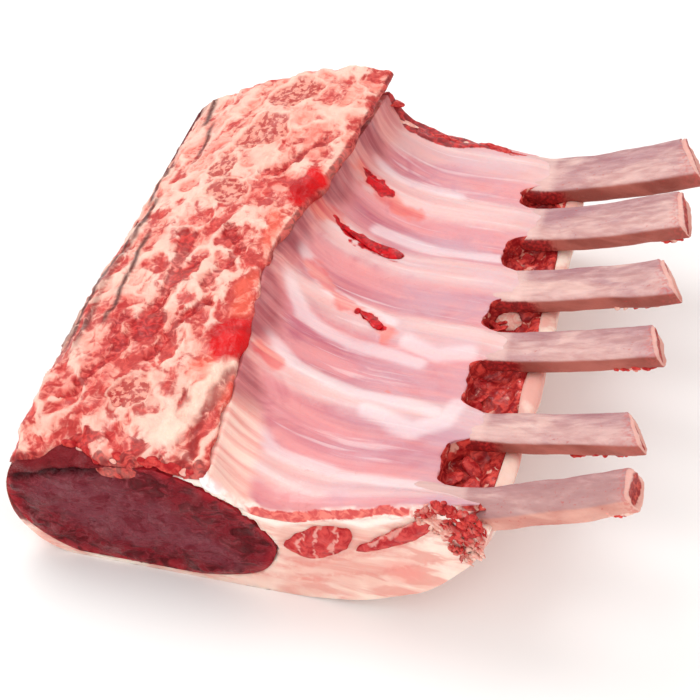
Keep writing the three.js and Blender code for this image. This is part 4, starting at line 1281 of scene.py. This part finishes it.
lip_x = np.linspace(5, 45, 40)
lip_y = 1.4 + 4.2 * np.exp(-(((lip_x - 14) / 5.5) ** 2)) + 0.8 * noise(lip_x / 5, 0, 0, 131)
lip_line = np.stack([lip_x, lip_y, face_z(lip_x, 0) - 1.9 + 0.5 * noise(lip_x / 3, 0, 0, 133)], 1)
scraps("lip_scraps", [lip_line], "chine_cut", Count=24, Spread=(0.8, 0.5, 0.5), Smallest=(1.2, 0.8, 0.8),
       Largest=(3.2, 1.4, 1.4), Turn=0.4, Lumpiness=0.0012, Paleness=0.2, Seed=4, Material=shred_paint)
scoops = []
for near, far in zip(RIBS, RIBS[1:]):
    low, high = near["root_y"] + near["width"] / 2 + 1, far["root_y"] - far["width"] / 2 - 1
    y = np.linspace(low, high, 12)
    scoops.append(np.stack([105.5 + 4 * np.sin(y * 1.7), y, hollow_z(105, y) - 5.6], 1))
scraps("scoop_scraps", scoops, "red_meat", Count=6, Spread=(3.2, 0.8, 0.2), Smallest=(1.6, 1.2, 0.4),
       Largest=(4.0, 3.0, 0.8), Turn=0.6, Lumpiness=0.002, Paleness=0.05, Seed=9, Material=shred_paint)
back_x = np.linspace(58, 97, 40)
back_y = LENGTH - 2.2 - raw_reach(back_x) * 0.5 + 0.8 * noise(back_x / 4, 0, 0, 132)
back_line = np.stack([back_x, back_y, wall_z(back_x, back_y)], 1)
scraps("back_scraps", [back_line], "red_meat", Count=9, Spread=(0.8, 2.0, 0.1), Smallest=(3.0, 1.2, 0.3),
       Largest=(8.0, 2.2, 0.7), Turn=0.2, Lumpiness=0.0012, Paleness=0.05, Seed=6, Material=shred_paint)
tips = []
for rib, length in ((RIBS[1], 14), (RIBS[2], 9), (RIBS[3], 12), (RIBS[4], 6), (RIBS[0], 5)):
    x = np.linspace(rib["tip"][0] - length, rib["tip"][0] - 1, 6)
    middle = rib_line(rib, x)
    tips.append(np.stack([x, middle[1] - 0.48 * rib["width"], middle[2] - 0.36 * rib["thickness"]], 1))
scraps("tip_scraps", tips, "red_meat", Count=8, Spread=(0.9, 0.2, 0.3), Smallest=(0.6, 0.4, 0.3),
       Largest=(1.9, 0.9, 0.8), Turn=0.5, Lumpiness=0.0018, Paleness=0.5, Seed=2, Material=shred_paint)


# Floor, light and camera
# The camera stands where the photograph was taken from, and a large soft light comes from above and behind.

CAMERA_TURN, CAMERA_TILT = 14.0, 40.0  # degrees
LENS = 85.4
SEEN_AT = Vector((65.0, 0.0, 0.0))  # a point of the rack
SEEN_PIXEL = (275.0, 592.0)  # where it is in the picture
DISTANCE = 404.9
PICTURE = 700.0

floor_mesh = bpy.data.meshes.new("floor")
floor_mesh.from_pydata([(-3, -3, 0), (3, -3, 0), (3, 3, 0), (-3, 3, 0)], [], [(0, 1, 2, 3)])
floor = bpy.data.objects.new("floor", floor_mesh)
bpy.context.scene.collection.objects.link(floor)
floor_paint = bpy.data.materials.new("white_floor")
floor_paint.use_nodes = True
floor_shader = floor_paint.node_tree.nodes["Principled BSDF"]
floor_shader.inputs["Base Color"].default_value = (0.96, 0.95, 0.94, 1)
floor_shader.inputs["Roughness"].default_value = 0.7
floor_mesh.materials.append(floor_paint)
floor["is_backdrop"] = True

world = bpy.data.worlds.new("studio")
world.use_nodes = True
world.node_tree.nodes["Background"].inputs["Color"].default_value = (1.0, 0.99, 0.98, 1)
world.node_tree.nodes["Background"].inputs["Strength"].default_value = 0.95
bpy.context.scene.world = world
bpy.context.scene.view_settings.view_transform = "Standard"


def soft_box(name, place, aim, size, power, colour=(1, 1, 1)):
    light = bpy.data.lights.new(name, "AREA")
    light.shape = "RECTANGLE"
    light.size, light.size_y = size
    light.energy = power
    light.color = colour
    made = bpy.data.objects.new(name, light)
    made.location = place
    made.rotation_euler = (Vector(aim) - Vector(place)).to_track_quat("-Z", "Y").to_euler()
    bpy.context.scene.collection.objects.link(made)


soft_box("key", (-0.45, 0.25, 0.8), (0, 0, 0.02), (0.5, 0.5), 2.9)
soft_box("fill", (-0.1, -0.9, 0.5), (0, 0, 0.02), (0.8, 0.8), 2.0)

turn, tilt = math.radians(CAMERA_TURN), math.radians(CAMERA_TILT)
right = Vector((math.cos(turn), math.sin(turn), 0))
ahead = Vector((-math.sin(turn) * math.cos(tilt), math.cos(turn) * math.cos(tilt), -math.sin(tilt)))
up = Vector((-math.sin(turn) * math.sin(tilt), math.cos(turn) * math.sin(tilt), math.cos(tilt)))
focal = LENS / 36 * PICTURE
ray = ahead + (SEEN_PIXEL[0] - PICTURE / 2) / focal * right - (SEEN_PIXEL[1] - PICTURE / 2) / focal * up
place = (SEEN_AT + CORNER - ray * DISTANCE) / 1000
camera_data = bpy.data.cameras.new("camera")
camera_data.lens = LENS
camera_data.sensor_width = 36
camera_data.clip_start = 0.01
camera = bpy.data.objects.new("camera", camera_data)
camera.matrix_world = Matrix.Translation(place) @ Matrix((right, up, -ahead)).transposed().to_4x4()
bpy.context.scene.collection.objects.link(camera)
bpy.context.scene.camera = camera

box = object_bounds()
sizes = {"cad": [list(corner) for corner in cad_box], "visual": [list(corner) for corner in box]}
